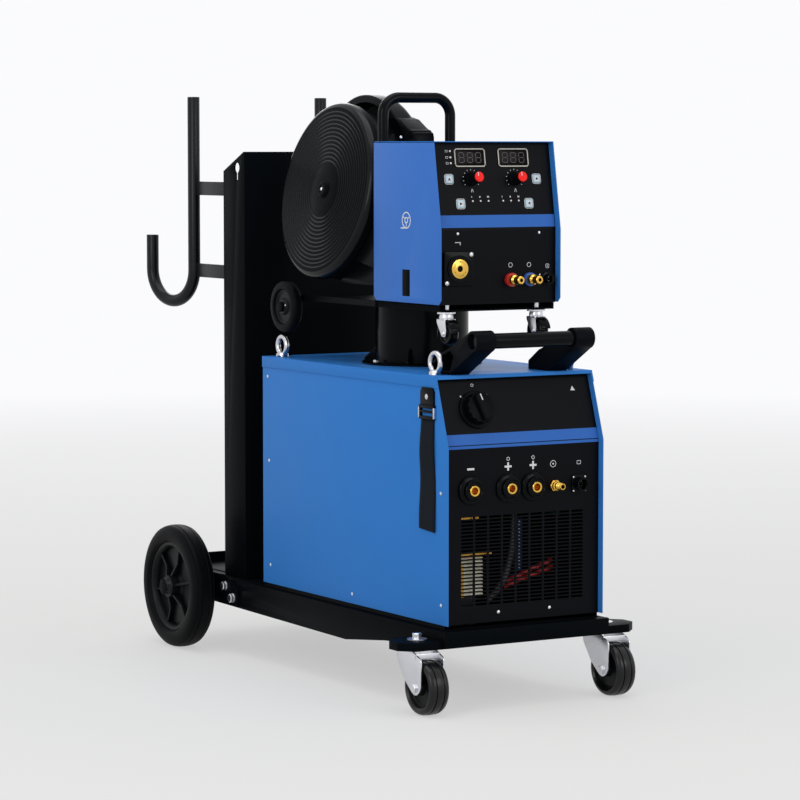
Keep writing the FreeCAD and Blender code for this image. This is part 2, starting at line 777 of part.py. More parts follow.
node("top_cover", cover)

eyes = []
for number, (x, y) in enumerate(eye_spots):
    ring_z = panel_top + S.eye_collar_height + S.eye_ring - S.eye_wire / 2
    eyes.append(fuse(
        f"eye_{number}",
        ring(f"eye_ring_{number}", ALONG["x"], (x, y, ring_z), S.eye_ring, S.eye_wire),
        rod(f"eye_collar_{number}", "z", (x, y, panel_top), S.eye_collar, S.eye_collar_height),
        rod(f"eye_shank_{number}", "z", (x, y, panel_top - S.eye_depth), S.eye_shank,
            S.eye_depth + S.eye_collar_height)))
node("eyebolts", group("eyebolts", *eyes))

# The front panel: one black sheet bent to follow the slanted edges, with a louvred air inlet
# below, round holes for the sockets and one hole for the main switch's spindle.
panel_fittings_sizes = {
    "grille_columns": 9,
    "grille_rows": 25,
    "slot_bar": 4.4,
    "slot_rib": 2.6,
    "slot_length": 25.4,
    "slot_height": 4,
    "grille_rise": 32.3,
    "socket_drop": 80.9,
    "socket_minus_x": -112,
    "socket_plus_x": -32,
    "socket_gap": 2,
    "socket_flange": 26,
    "socket_barrel": 19,
    "socket_reach": 15,
    "socket_bore": 6.5,
    "socket_depth": 28,
    "gas_gap": 18,
    "gas_radius": 9,
    "gas_bore": 4,
    "gas_reach": 33,
    "control_gap": 56.5,
    "control_radius": 12,
    "control_flange": 16,
    "control_reach": 16,
    "switch_x": -88,
    "switch_rise": 62.6,
    "switch_base": 35,
    "switch_base_height": 5,
    "switch_radius": 29,
    "switch_reach": 32,
    "switch_skirt": 21,
    "switch_spindle": 5,
    "switch_grip": 9,
    "spindle_gap": 1.2,
    "spindle_depth": 20,
}
keep(panel_fittings_sizes)
socket_pulse_x = S.socket_plus_x + S.socket_flange * 2 + S.socket_gap
gas_x = socket_pulse_x + S.socket_flange + S.gas_gap
control_x = gas_x + S.control_gap
slot_pitch_z = S.slot_height + S.slot_rib
slot_pitch_x = S.slot_length + S.slot_bar
switch_height = slant_foot + S.switch_rise
socket_height = slant_foot - S.socket_drop
grille_foot = panel_foot + S.grille_rise
face_y = source_front + S.front_recess
panel_half = side_inner - S.sheet_gap
fascia_top = cover_under - S.sheet_gap
fascia_lean = (fascia_top - slant_foot) * lean
front = body("front_panel")
pad(front, "front_bend", "YZ_Plane", -panel_half, panel_half, [
    (face_y, panel_foot), (face_y, slant_foot), (face_y + fascia_lean, fascia_top),
    (face_y + fascia_lean + S.front_sheet, fascia_top),
    (face_y + S.front_sheet, slant_foot), (face_y + S.front_sheet, panel_foot)])
socket_xs = [S.socket_minus_x, S.socket_plus_x, socket_pulse_x]
panel_holes = [circle(x, socket_height, S.socket_barrel + S.sheet_gap) for x in socket_xs]
panel_holes += [circle(gas_x, socket_height, S.gas_radius + S.sheet_gap),
                circle(control_x, socket_height, S.control_radius + S.sheet_gap)]
pocket(front, "socket_holes", "XZ_Plane", face_y, face_y + S.front_sheet, *panel_holes)
grille_left = -slot_pitch_x * (S.grille_columns - 1) / 2 - S.slot_length / 2
switch_y = face_y + (switch_height - slant_foot) * lean
pocket(front, "switch_hole", "XZ_Plane", face_y, face_y + fascia_lean + S.front_sheet,
       circle(S.switch_x, switch_height, S.switch_spindle + S.spindle_gap))
slot = pocket(front, "grille_slot", "XZ_Plane", face_y, face_y + S.front_sheet, rectangle(
    (grille_left, grille_left + S.slot_length), (grille_foot, grille_foot + S.slot_height)))
pattern = front.newObject("PartDesign::MultiTransform", "grille")
across = front.newObject("PartDesign::LinearPattern", "grille_across")
across.Direction = (plane(front, "X_Axis"), [""])
bind(across, "Length", slot_pitch_x * (S.grille_columns - 1))
across.Occurrences = int(S.grille_columns.value)
upwards = front.newObject("PartDesign::LinearPattern", "grille_upwards")
upwards.Direction = (plane(front, "Z_Axis"), [""])
bind(upwards, "Length", slot_pitch_z * (S.grille_rows - 1))
upwards.Occurrences = int(S.grille_rows.value)
pattern.Originals = [slot]
pattern.Transformations = [across, upwards]
pattern.Refine = False
front.Tip = pattern
node("front_panel", front)

# The main switch: a lobed knob on a spindle, square to the slanted part of the panel.
outwards = Rotation(Vector(1, 0, 0), 90 - math.degrees(lean_angle))


def switch_point(distance):
    """A point on the switch's axis, at a distance in front of the panel."""
    return (S.switch_x, switch_y - distance * math.cos(lean_angle),
            switch_height + distance * math.sin(lean_angle))


knob_base = rod("switch_base_disc", outwards, switch_point(S.sliding_gap), S.switch_base, S.switch_base_height)
knob_skirt = rod("switch_skirt_disc", outwards, switch_point(S.sliding_gap), S.switch_radius, S.switch_skirt)
knob_grip = named("Part::Box", "switch_grip_bar")
bind(knob_grip, "Length", S.switch_grip * 2)
bind(knob_grip, "Width", S.switch_radius * 2 - 8)
bind(knob_grip, "Height", S.switch_reach)
grip_corner = outwards.multVec(Vector(-S.switch_grip.value, -S.switch_radius.value + 4, S.sliding_gap.value))
place(knob_grip, S.switch_x + grip_corner.x, switch_y + grip_corner.y, switch_height + grip_corner.z,
      outwards)
spindle = rod("switch_spindle_bar", outwards, switch_point(-S.spindle_depth), S.switch_spindle,
              S.spindle_depth + S.switch_skirt)
node("main_switch_knob", fuse("main_switch_knob", knob_base, knob_skirt, knob_grip, spindle))

# The weld sockets: a black flange and barrel with a brass bush that takes a bayonet plug.
sockets = []
for number, x in enumerate(socket_xs):
    reach = S.socket_reach
    piece = turned(f"weld_socket_{number}", [
        (S.socket_bore, 0), (S.socket_bore, reach + 1), (S.socket_bore + 3, reach + 1),
        (S.socket_barrel - 4, reach - 4), (S.socket_barrel - 3, reach), (S.socket_barrel, reach),
        (S.socket_barrel, 5), (S.socket_flange, 5), (S.socket_flange, 0.0),
        (S.socket_barrel, 0.0), (S.socket_barrel, -S.socket_depth + 8),
        (0, -S.socket_depth + 8), (0, -S.socket_depth + 12), (S.socket_bore, -S.socket_depth + 12),
    ])
    sockets.append(place(piece, x, face_y, socket_height, ALONG["-y"]))
node("weld_sockets", group("weld_sockets", *sockets))

gas = turned("gas_coupling", [
    (S.gas_bore, -20), (S.gas_bore, S.gas_reach), (S.gas_radius - 3, S.gas_reach),
    (S.gas_radius - 2, S.gas_reach - 4), (S.gas_radius - 2, 16), (S.gas_radius, 14),
    (S.gas_radius + 2, 12), (S.gas_radius + 2, 0), (S.gas_radius, 0), (S.gas_radius, -20)])
node("gas_coupling", place(gas, gas_x, face_y, socket_height, ALONG["-y"]))

control_ring = turned("control_ring", [
    (S.control_radius - 3, -6), (S.control_radius - 3, S.control_reach),
    (S.control_radius, S.control_reach), (S.control_radius, -8), (0, -8), (0, -6)])
place(control_ring, control_x, face_y, socket_height, ALONG["-y"])
control_plate = box("control_plate", (control_x - S.control_flange, control_x + S.control_flange),
                    (face_y - 2.5, face_y),
                    (socket_height - S.control_flange, socket_height + S.control_flange))
control_bore = rod("control_bore", "-y", (control_x, face_y, socket_height), S.control_radius - 1, 10)
node("control_socket", fuse("control_socket", cut("control_plate_ring", control_plate, control_bore),
                            control_ring))

# The rear panel, with a ring of air slots in front of the fan and a hole for the mains gland.
cooling_sizes = {
    "fan_rise": 241.3,
    "fan_radius": 92,
    "fan_hub": 32,
    "fan_depth": 24,
    "fan_frame_half": 108,
    "fan_frame_depth": 38,
    "fan_shaft": 4,
    "fan_slots": 20,
    "fan_slot": 8,
    "gland_x": -105,
    "gland_rise": 63.3,
    "gland_radius": 15,
    "gland_bore": 10,
    "gland_reach": 26,
}
keep(cooling_sizes)
gland_height = panel_foot + S.gland_rise
fan_height = panel_foot + S.fan_rise
rear_front = source_rear - S.front_sheet
rear_panel = body("rear_panel")
pad(rear_panel, "rear_sheet", "XZ_Plane", rear_front, source_rear, rectangle(
    (-panel_half, panel_half), (panel_foot - fan_height, fascia_top - fan_height)))
pocket(rear_panel, "gland_hole", "XZ_Plane", rear_front, source_rear,
       circle(S.gland_x, gland_height - fan_height, S.gland_radius + S.sheet_gap))
air_slot = pocket(rear_panel, "air_slot", "XZ_Plane", rear_front, source_rear, rectangle(
    (-S.fan_slot / 2, S.fan_slot / 2), (S.fan_hub + S.fan_slot, S.fan_radius - S.fan_slot / 2)))
air_slots = rear_panel.newObject("PartDesign::PolarPattern", "air_slots")
air_slots.Originals = [air_slot]
air_slots.Axis = (plane(rear_panel, "Y_Axis"), [""])
air_slots.Angle = 360
air_slots.Occurrences = int(S.fan_slots.value)
air_slots.Refine = False
rear_panel.Tip = air_slots
place(rear_panel, 0, 0, fan_height)
node("rear_panel", rear_panel)

gland = turned("mains_gland", [
    (S.gland_bore, -12), (S.gland_bore, S.gland_reach), (S.gland_bore + 3, S.gland_reach),
    (S.gland_radius, S.gland_reach - 10), (S.gland_radius + 4, S.gland_reach - 12),
    (S.gland_radius + 4, 0), (S.gland_radius, 0), (S.gland_radius, -12)])
node("mains_gland", place(gland, S.gland_x, source_rear, gland_height, ALONG["y"]))

# The cooling fan: a square frame on the rear panel, whose struts carry the motor and the rotor.
fan_rear = rear_front
fan_front = fan_rear - S.fan_frame_depth
fan = body("fan_frame_box")
pad(fan, "fan_square", "XZ_Plane", fan_front, fan_rear,
    rectangle((-S.fan_frame_half, S.fan_frame_half),
              (fan_height - S.fan_frame_half, fan_height + S.fan_frame_half)),
    circle(0, fan_height, S.fan_radius + 3))
struts = [box("fan_strut_a", (-S.fan_radius - 6, S.fan_radius + 6), (fan_front, fan_front + 4),
              (fan_height - 5, fan_height + 5)),
          box("fan_strut_b", (-5, 5), (fan_front, fan_front + 4),
              (fan_height - S.fan_radius - 6, fan_height + S.fan_radius + 6))]
motor = rod("fan_motor", "y", (0, fan_front, fan_height), S.fan_hub - 4, 8)
motor_shaft = rod("fan_motor_shaft", "y", (0, fan_front, fan_height), S.fan_shaft, 32)
node("fan_frame", fuse("fan_frame", fan, motor, motor_shaft, *struts))
rotor_front = fan_front + 8 + S.sliding_gap
rotor_hub = rod("rotor_hub", "y", (0, rotor_front, fan_height), S.fan_hub, S.fan_depth)
blades = []
for turn in range(7):
    blade = named("Part::Box", f"rotor_blade_{turn}")
    bind(blade, "Length", S.fan_radius - S.fan_hub + 2)
    blade.Width = 3
    blade.Height = 34
    twist = Rotation(Vector(0, 1, 0), turn * 360 / 7).multiply(Rotation(Vector(1, 0, 0), -52))
    corner = twist.multVec(Vector(S.fan_hub.value - 2, -1.5, -17))
    place(blade, corner.x, rotor_front + 12 + corner.y, fan_height + corner.z, twist)
    blades.append(blade)
rotor_bore = rod("rotor_bore", "y", (0, rotor_front, fan_height), S.fan_shaft + S.running_gap, S.fan_depth)
node("fan_rotor", cut("fan_rotor", fuse("rotor_body", rotor_hub, *blades), rotor_bore))

# Inside: the transformer and the choke stand on the base pan, the board on the right side panel.
inside_sizes = {
    "transformer_setback": 330,
    "transformer_width": 180,
    "transformer_depth": 150,
    "transformer_height": 150,
    "choke_x": -112,
    "choke_setback": 40,
    "choke_width": 56,
    "choke_depth": 95,
    "choke_height": 116,
    "board_setback": 120,
    "board_length": 260,
    "board_rise": 171.3,
    "board_height": 200,
    "board_standoff": 15,
}
keep(inside_sizes)
board_foot = panel_foot + S.board_rise
pan_top = tray_top + S.pan_sheet
core_front = back(S.transformer_setback)
core_rear = core_front + S.transformer_depth
core = slab("transformer_core", "XZ_Plane", core_front + 45, core_rear - 45,
            rectangle((-S.transformer_width / 2, S.transformer_width / 2),
                      (pan_top, pan_top + S.transformer_height)),
            rectangle((-S.transformer_width / 2 + 30, -15), (pan_top + 30, pan_top + S.transformer_height - 30)),
            rectangle((size(15), S.transformer_width / 2 - 30),
                      (pan_top + 30, pan_top + S.transformer_height - 30)))
coil = box("transformer_coil", (-S.transformer_width / 2 + 31, S.transformer_width / 2 - 31),
           (core_front + 8, core_rear - 8), (pan_top + 32, pan_top + S.transformer_height - 32))
node("power_transformer", fuse("power_transformer", core, coil))
choke_front = back(S.choke_setback)
choke_core = box("choke_core", (S.choke_x - S.choke_width / 2, S.choke_x + S.choke_width / 2),
                 (choke_front, choke_front + S.choke_depth), (pan_top, pan_top + S.choke_height))
choke_coil = box("choke_coil", (S.choke_x - S.choke_width / 2 - 6, S.choke_x + S.choke_width / 2 + 6),
                 (choke_front - 6, choke_front + S.choke_depth + 6),
                 (pan_top + 36, pan_top + S.choke_height - 22))
choke_strap = box("choke_strap", (S.choke_x - 12, S.choke_x + 12), (choke_front - 10, choke_front + 40),
                  (pan_top + S.choke_height, pan_top + S.choke_height + 3))
node("output_choke", fuse("output_choke", choke_core, choke_coil, choke_strap))
board_x = side_inner - S.board_standoff
board = box("board_plate", (board_x - 2, board_x), (back(S.board_setback),
            back(S.board_setback) + S.board_length), (board_foot, board_foot + S.board_height))
pillars = [rod(f"board_pillar_{i}", "x", (board_x, back(S.board_setback) + dy, board_foot + dz), 4,
               S.board_standoff)
           for i, (dy, dz) in enumerate([(12, 12), (248, 12), (12, 188), (248, 188)])]
heat_sink = box("board_heat_sink", (board_x - 42, board_x - 2),
                (back(S.board_setback) + 90, back(S.board_setback) + 200),
                (board_foot + 30, board_foot + 130))
node("control_board", fuse("control_board", board, heat_sink, *pillars))

# The hold-down strap on the left side: a screwed plate, a ladder buckle and hanging webbing.
strap_sizes = {
    "strap_plate_setback": 68,
    "strap_plate_width": 46,
    "strap_drop": 19.8,
    "strap_plate_height": 33,
    "strap_plate_sheet": 4,
    "buckle_height": 26,
    "webbing_width": 52,
    "webbing_sheet": 2.4,
    "webbing_length": 202,
}
keep(strap_sizes)
strap_plate_top = panel_top - S.strap_drop
strap_y = back(S.strap_plate_setback)
strap_face = -side_half - S.panel_sheet - S.sheet_gap
plate_foot = strap_plate_top - S.strap_plate_height
webbing_face = strap_face - S.strap_plate_sheet
strap_plate = box("strap_plate", (webbing_face, -side_half),
                  (strap_y - S.strap_plate_width / 2, strap_y + S.strap_plate_width / 2),
                  (plate_foot, cover_edge - S.sheet_gap))
strap_buckle = box("strap_buckle", (webbing_face - 3, -side_half),
                   (strap_y - S.strap_plate_width / 2 - 3, strap_y + S.strap_plate_width / 2 + 3),
                   (plate_foot - S.buckle_height, plate_foot))
webbing = box("strap_webbing", (-side_half - S.webbing_sheet, -side_half),
              (strap_y - S.webbing_width / 2, strap_y + S.webbing_width / 2),
              (plate_foot - S.buckle_height - S.webbing_length, plate_foot - S.buckle_height))
node("carry_strap", fuse("carry_strap", strap_plate, strap_buckle, webbing))

# The swivel post: a foot plate on the top cover, a drum-sized tube with four gussets,
# and the pin that the feeder's socket turns on.
post_sizes = {
    "post_setback": 370,
    "post_radius": 89,
    "post_wall": 5,
    "post_foot_radius": 115,
    "post_foot_height": 5,
    "gusset_height": 27,
    "gusset_sheet": 5,
    "pivot_radius": 20,
    "pivot_height": 26,
    "eye_clearance": 4.7,
    "feeder_wheel_radius": 50,
    "feeder_axle_drop": 13,
}
keep(post_sizes)
eye_top = panel_top + S.eye_collar_height + S.eye_ring * 2 + S.eye_wire / 2
feeder_axle_height = eye_top + S.eye_clearance + S.feeder_wheel_radius
feeder_foot = feeder_axle_height + S.feeder_axle_drop
post_y = back(S.post_setback)
post_top = feeder_foot - S.sliding_gap
post_foot_top = panel_top + S.post_foot_height
post_room = S.post_radius - S.post_wall
post_shell = turned("post_shell", [
    (post_room, panel_top), (S.post_foot_radius, panel_top), (S.post_foot_radius, post_foot_top),
    (S.post_radius, post_foot_top), (S.post_radius, post_top), (S.pivot_radius, post_top),
    (S.pivot_radius, post_top + S.pivot_height), (0, post_top + S.pivot_height),
    (0, post_top - S.post_wall), (post_room, post_top - S.post_wall)])
place(post_shell, 0, post_y, 0)
gussets = []
for turn in range(4):
    rib = slab(f"post_gusset_{turn}", "XZ_Plane", -S.gusset_sheet / 2, S.gusset_sheet / 2, [
        (S.post_radius - 2, post_foot_top), (S.post_foot_radius - 1, post_foot_top),
        (S.post_radius, post_foot_top + S.gusset_height), (S.post_radius - 2, post_foot_top + S.gusset_height)])
    place(rib, 0, post_y, 0, Rotation(Vector(0, 0, 1), 45 + 90 * turn))
    gussets.append(rib)
node("swivel_post", fuse("swivel_post", post_shell, *gussets))

# The push handle: a steel tube held in two ribbed plastic brackets on the top cover.
push_handle_sizes = {
    "handle_reach": 13,
    "handle_rise": 64.2,
    "handle_radius": 14,
    "boss_radius": 19.5,
    "boss_outer_x": 127,
    "boss_inner_x": 86,
    "bracket_foot_front": 62,
    "bracket_foot_rear": 130,
    "bracket_web": 6,
}
keep(push_handle_sizes)
handle_height = panel_top + S.handle_rise
handle_y = back(-S.handle_reach)
brackets = []
for side, word in ((-1, "left"), (1, "right")):
    edge = [side * S.boss_inner_x, side * S.boss_outer_x]
    low, high = edge if side > 0 else edge[::-1]
    arm = body(f"handle_arm_{word}")
    outline = [
        (back(S.bracket_foot_front), panel_top), (back(S.bracket_foot_rear), panel_top),
        (back(S.bracket_foot_rear), panel_top + 16),
        (back(S.bracket_foot_rear - 35), panel_top + 38), (back(60), handle_height - 14),
        (handle_y + 6, handle_height + S.boss_radius - 2),
        (handle_y - 13, handle_height - S.boss_radius + 5),
    ]
    pad(arm, f"arm_block_{word}", "YZ_Plane", low, high, outline)
    cells = [
        [(back(S.bracket_foot_rear - 6), panel_top + 6), (back(S.bracket_foot_rear - 6), panel_top + 14),
         (back(S.bracket_foot_rear - 37), panel_top + 33), (back(S.bracket_foot_rear - 37), panel_top + 6)],
        [(back(S.bracket_foot_rear - 42), panel_top + 6), (back(S.bracket_foot_rear - 42), panel_top + 33),
         (back(62), panel_top + 43), (back(50), panel_top + 34), (back(62), panel_top + 8)],
    ]
    outside = (low, high - S.bracket_web) if side < 0 else (low + S.bracket_web, high)
    pocket(arm, f"arm_cells_{word}", "YZ_Plane", *outside, *cells)
    boss = rod(f"handle_boss_{word}", "x", (low, handle_y, handle_height), S.boss_radius, high - low)
    boss_bore = rod(f"boss_bore_{word}", "x", (low, handle_y, handle_height),
                    S.handle_radius + S.sliding_gap, high - low)
    brackets.append(cut(f"handle_bracket_{word}", fuse(f"handle_casting_{word}", arm, boss), boss_bore))
node("handle_brackets", group("handle_brackets", *brackets))
tube_end = S.boss_outer_x - 7
node("handle_tube", rod("handle_tube", "x", (-tube_end, handle_y, handle_height), S.handle_radius,
                        tube_end * 2))

# The wire feeder's chassis: a folded pan on the pivot, a bulkhead behind the box, a divider
# that carries the wire drive, and lugs for the rear axle.
feeder_sizes = {
    "feeder_setback": 88,
    "feeder_width": 260,
    "feeder_rear_setback": 330,
    "feeder_panel_rise": 13,
    "feeder_slant_height": 162,
    "feeder_straight": 135,
    "feeder_slant_setback": 26,
    "feeder_recess": 15,
    "feeder_sheet": 1.5,
    "chassis_inset": 5,
    "chassis_sheet": 3,
    "chassis_flange": 12,
    "chassis_rear_setback": 676,
    "divider_gap": 19,
    "pivot_boss": 34,
    "feeder_wheel_width": 22,
    "feeder_wheel_gap": 16,
    "feeder_axle_setback": 652,
    "feeder_axle_radius": 6,
    "feeder_caster_inset": 27,
    "feeder_caster_setback": 122,
    "feeder_caster_trail": 10,
    "feeder_caster_radius": 21,
    "feeder_caster_width": 18,
    "feeder_caster_height": 61,
    "feeder_caster_pin": 3,
    "wire_inlet": 6,
    "euro_inset": 45,
    "euro_rise": 65,
}
keep(feeder_sizes)
feeder_half = S.feeder_width / 2
chassis_half = feeder_half - S.chassis_inset
feeder_panel_foot = feeder_foot + S.feeder_panel_rise
feeder_slant_foot = feeder_panel_foot + S.feeder_straight
feeder_panel_top = feeder_slant_foot + S.feeder_slant_height
feeder_wheel_x = chassis_half + S.feeder_wheel_gap
feeder_caster_x = chassis_half - S.feeder_caster_inset
euro_x = -(feeder_half - S.euro_inset)
euro_height = feeder_panel_foot + S.euro_rise
divider_x = euro_x + S.divider_gap
chassis_top = feeder_foot + S.chassis_flange
feeder_front = back(S.feeder_setback)
feeder_rear = back(S.feeder_rear_setback)
fascia_y = feeder_front + S.feeder_recess
chassis_rear = back(S.chassis_rear_setback)
feeder_inner = feeder_half - S.feeder_sheet
bulkhead_y = feeder_rear - S.chassis_sheet
feeder_under = feeder_panel_top - S.feeder_sheet
feeder_lean = S.feeder_slant_setback / (feeder_panel_top - feeder_slant_foot)
chassis = body("chassis_sheet_metal")
pad(chassis, "chassis_floor", "XY_Plane", feeder_foot, feeder_foot + S.chassis_sheet,
    rectangle((-chassis_half, chassis_half), (fascia_y, chassis_rear)),
    circle(0, post_y, S.pivot_radius + S.running_gap),
    *[circle(side * feeder_caster_x, back(S.feeder_caster_setback),
             S.feeder_caster_pin * 2 + S.running_gap) for side in (-1, 1)])
chassis_wall = pad(chassis, "chassis_wall", "YZ_Plane", -chassis_half, -chassis_half + S.chassis_sheet,
                   rectangle((fascia_y, chassis_rear), (feeder_foot + 1, chassis_top)))
axle_lug = pad(chassis, "axle_lug", "YZ_Plane", -chassis_half, -chassis_half + S.chassis_sheet, rectangle(
    (back(S.feeder_axle_setback) - 14, back(S.feeder_axle_setback) + 14),
    (feeder_axle_height - 12, feeder_foot + 1)))
mirrored(chassis, "chassis_walls", chassis_wall, axle_lug)
pad(chassis, "bulkhead", "XZ_Plane", bulkhead_y, feeder_rear, rectangle(
    (-feeder_inner + S.sheet_gap, feeder_inner - S.sheet_gap), (feeder_foot + 1, feeder_under - S.sheet_gap)))
pad(chassis, "divider", "YZ_Plane", divider_x, divider_x + S.chassis_sheet, rectangle(
    (fascia_y + 40, bulkhead_y + 1), (feeder_foot + 1, feeder_under - 20)))
pocket(chassis, "wire_inlet", "XZ_Plane", bulkhead_y, feeder_rear, circle(euro_x, euro_height, S.wire_inlet))
feeder_axle_y = back(S.feeder_axle_setback)
axle_reach = feeder_wheel_x + S.feeder_wheel_width / 2 + S.sliding_gap
axle_bars = []
for side, word in ((-1, "left"), (1, "right")):
    inner = chassis_half - S.chassis_sheet - 12
    outward = "x" if side > 0 else "-x"
    axle_bars.append(rod(f"feeder_axle_{word}", outward, (side * inner, feeder_axle_y, feeder_axle_height),
                         S.feeder_axle_radius, axle_reach + 4 - inner))
    axle_bars.append(rod(f"feeder_axle_cap_{word}", outward,
                         (side * axle_reach, feeder_axle_y, feeder_axle_height),
                         S.feeder_axle_radius + 4, 4))
pivot_tube = rod("pivot_tube", "z", (0, post_y, feeder_foot + 1), S.pivot_boss, 26)
pivot_bore = rod("pivot_bore", "z", (0, post_y, feeder_foot), S.pivot_radius + S.running_gap, 40)
chassis_body = cut("feeder_base", fuse("chassis_weldment", chassis, pivot_tube, *axle_bars), pivot_bore)
node("feeder_base", chassis_body)

# The feeder's wheels: two on stub axles at the rear, two small hooded casters under the front.
for side, word in ((-1, "left"), (1, "right")):
    hub = S.feeder_axle_radius + S.running_gap
    half = S.feeder_wheel_width / 2
    rim = S.feeder_wheel_radius
    wheel = turned(f"feeder_wheel_{word}", [
        (hub, -half), (hub + 7, -half), (hub + 9, -half + 6), (rim - 18, -half + 6), (rim - 15, -half),
        (rim - 3, -half), (rim, -half + 4), (rim, half - 4), (rim - 3, half), (rim - 15, half),
        (rim - 18, half - 6), (hub + 9, half - 6), (hub + 7, half), (hub, half)])
    place(wheel, side * feeder_wheel_x, feeder_axle_y, feeder_axle_height, ALONG["x"])
    node(f"feeder_wheel_{word}", wheel)

    tag = f"feeder_caster_{word}"
    x = side * feeder_caster_x
    y = back(S.feeder_caster_setback)
    wheel_y = y - S.feeder_caster_trail
    wheel_z = feeder_foot - S.feeder_caster_height + S.feeder_caster_radius
    head_top = feeder_foot - S.sliding_gap
    half = S.feeder_caster_width / 2 + S.sliding_gap
    hood = rod(f"{tag}_hood", "x", (x - half - 2, wheel_y, wheel_z), S.feeder_caster_radius + 5, half * 2 + 4)
    hood_room = rod(f"{tag}_hood_room", "x", (x - half, wheel_y, wheel_z), S.feeder_caster_radius + 1.5, half * 2)
    hood_cut = box(f"{tag}_hood_cut", (x - 60, x + 60), (wheel_y - 60, wheel_y + 60), (wheel_z - 60, wheel_z - 6))
    head = rod(f"{tag}_head", "z", (x, y, head_top - 4), 17, 4)
    race = rod(f"{tag}_race", "z", (x, y, wheel_z + S.feeder_caster_radius), 12,
               head_top - wheel_z - S.feeder_caster_radius)
    stem = rod(f"{tag}_stem", "z", (x, y, head_top - 4), S.feeder_caster_pin * 2, 16)
    pin = rod(f"{tag}_pin", "x", (x - half - 4, wheel_y, wheel_z), S.feeder_caster_pin, half * 2 + 8)
    shell = cut(f"{tag}_shell", fuse(f"{tag}_block", hood, head, race), hood_room, hood_cut)
    node(f"feeder_caster_fork_{word}", fuse(f"feeder_caster_fork_{word}", shell, stem, pin))
    half = S.feeder_caster_width / 2
    bore = S.feeder_caster_pin + S.running_gap
    rim = S.feeder_caster_radius
    small = turned(f"feeder_caster_wheel_{word}", [
        (bore, -half), (rim - 6, -half), (rim - 4, -half + 1), (rim, -half + 4), (rim, half - 4),
        (rim - 4, half - 1), (rim - 6, half), (bore, half)])
    place(small, x, wheel_y, wheel_z, ALONG["x"])
    node(f"feeder_caster_wheel_{word}", small)

# The feeder's case: a blue sheet over the top and the right side, a blue door on the left
# that hinges along its top edge, and a black fascia set in between.
feeder_case_sizes = {
    "door_gap": 1,
    "latch_setback": 212,
    "latch_width": 27,
    "latch_rise": 12,
    "latch_height": 49,
    "latch_barrel": 3,
    "latch_sheet": 2.5,
    "euro_half": 31.5,
    "euro_radius": 14,
    "euro_bore": 5.5,
    "coolant_left_x": 29,
    "coolant_right_x": 69.5,
    "coolant_reach": 38,
    "coolant_rise": 43,
    "coolant_radius": 7.5,
    "remote_inset": 20,
    "remote_radius": 9.5,
    "knob_x": 47,
    "knob_rise": 93,
    "knob_radius": 13,
    "knob_cap": 9,
    "knob_reach": 30,
    "button_upper_inset": 35,
    "button_upper_rise": 93,
    "button_lower_x": 74,
    "button_lower_rise": 48,
    "button_half": 8,
    "display_x": 47,
    "display_rise": 132,
    "display_width": 67,
    "display_height": 32,
    "display_sheet": 1.2,
}
keep(feeder_case_sizes)
display_mid = feeder_slant_foot + S.display_rise
button_upper_x = feeder_half - S.button_upper_inset
button_lower_height = feeder_slant_foot + S.button_lower_rise
button_upper_height = feeder_slant_foot + S.button_upper_rise
knob_height = feeder_slant_foot + S.knob_rise
remote_x = feeder_half - S.remote_inset
coolant_height = feeder_panel_foot + S.coolant_rise
latch_foot = feeder_panel_foot + S.latch_rise


def feeder_profile(foot, top, inset=0):
    """The outline of the feeder's side, from the front edge round to the rear."""
    start = feeder_front + inset
    corner = 8
    return [
        (start, foot + corner), (start, feeder_slant_foot),
        (start + (size(top) - feeder_slant_foot) * feeder_lean, top),
        (feeder_rear, top), (feeder_rear, foot + corner), (feeder_rear - corner, foot),
        (start + corner, foot),
    ]


shell = body("feeder_shell")
pad(shell, "shell_side", "YZ_Plane", feeder_inner, feeder_half,
    feeder_profile(feeder_panel_foot, feeder_panel_top))
shell_front = feeder_front + S.feeder_slant_setback
pad(shell, "shell_top", "XY_Plane", feeder_under, feeder_panel_top,
    rectangle((-feeder_inner + S.door_gap, feeder_inner + S.feeder_sheet / 2), (shell_front, feeder_rear)))
node("feeder_shell", shell)

latch_y = back(S.latch_setback)
door = body("door_sheet")
pad(door, "door_panel", "YZ_Plane", -feeder_half, -feeder_inner,
    feeder_profile(feeder_panel_foot, feeder_under - S.door_gap),
    rectangle((latch_y - S.latch_width / 2, latch_y + S.latch_width / 2),
              (latch_foot, latch_foot + S.latch_height)))
node("feeder_door", door)

# The door's latch: a lever sunk in a slot, which turns about the round barrel at its top end.
# A hooked tongue behind it catches the chassis's flange.
slide = S.sliding_gap
latch_pin_x = -feeder_half + S.latch_barrel
latch_pin_z = latch_foot + S.latch_height - slide - S.latch_barrel
latch_low = latch_y - S.latch_width / 2 + slide
latch_high = latch_y + S.latch_width / 2 - slide
latch_lever = box("latch_lever", (-feeder_half, -feeder_half + S.latch_sheet), (latch_low, latch_high),
                  (latch_foot + slide, latch_pin_z))
latch_barrel = rod("latch_barrel_bar", "y", (latch_pin_x, latch_low, latch_pin_z), S.latch_barrel,
                   latch_high - latch_low)
node("door_latch", fuse("door_latch", latch_lever, latch_barrel))

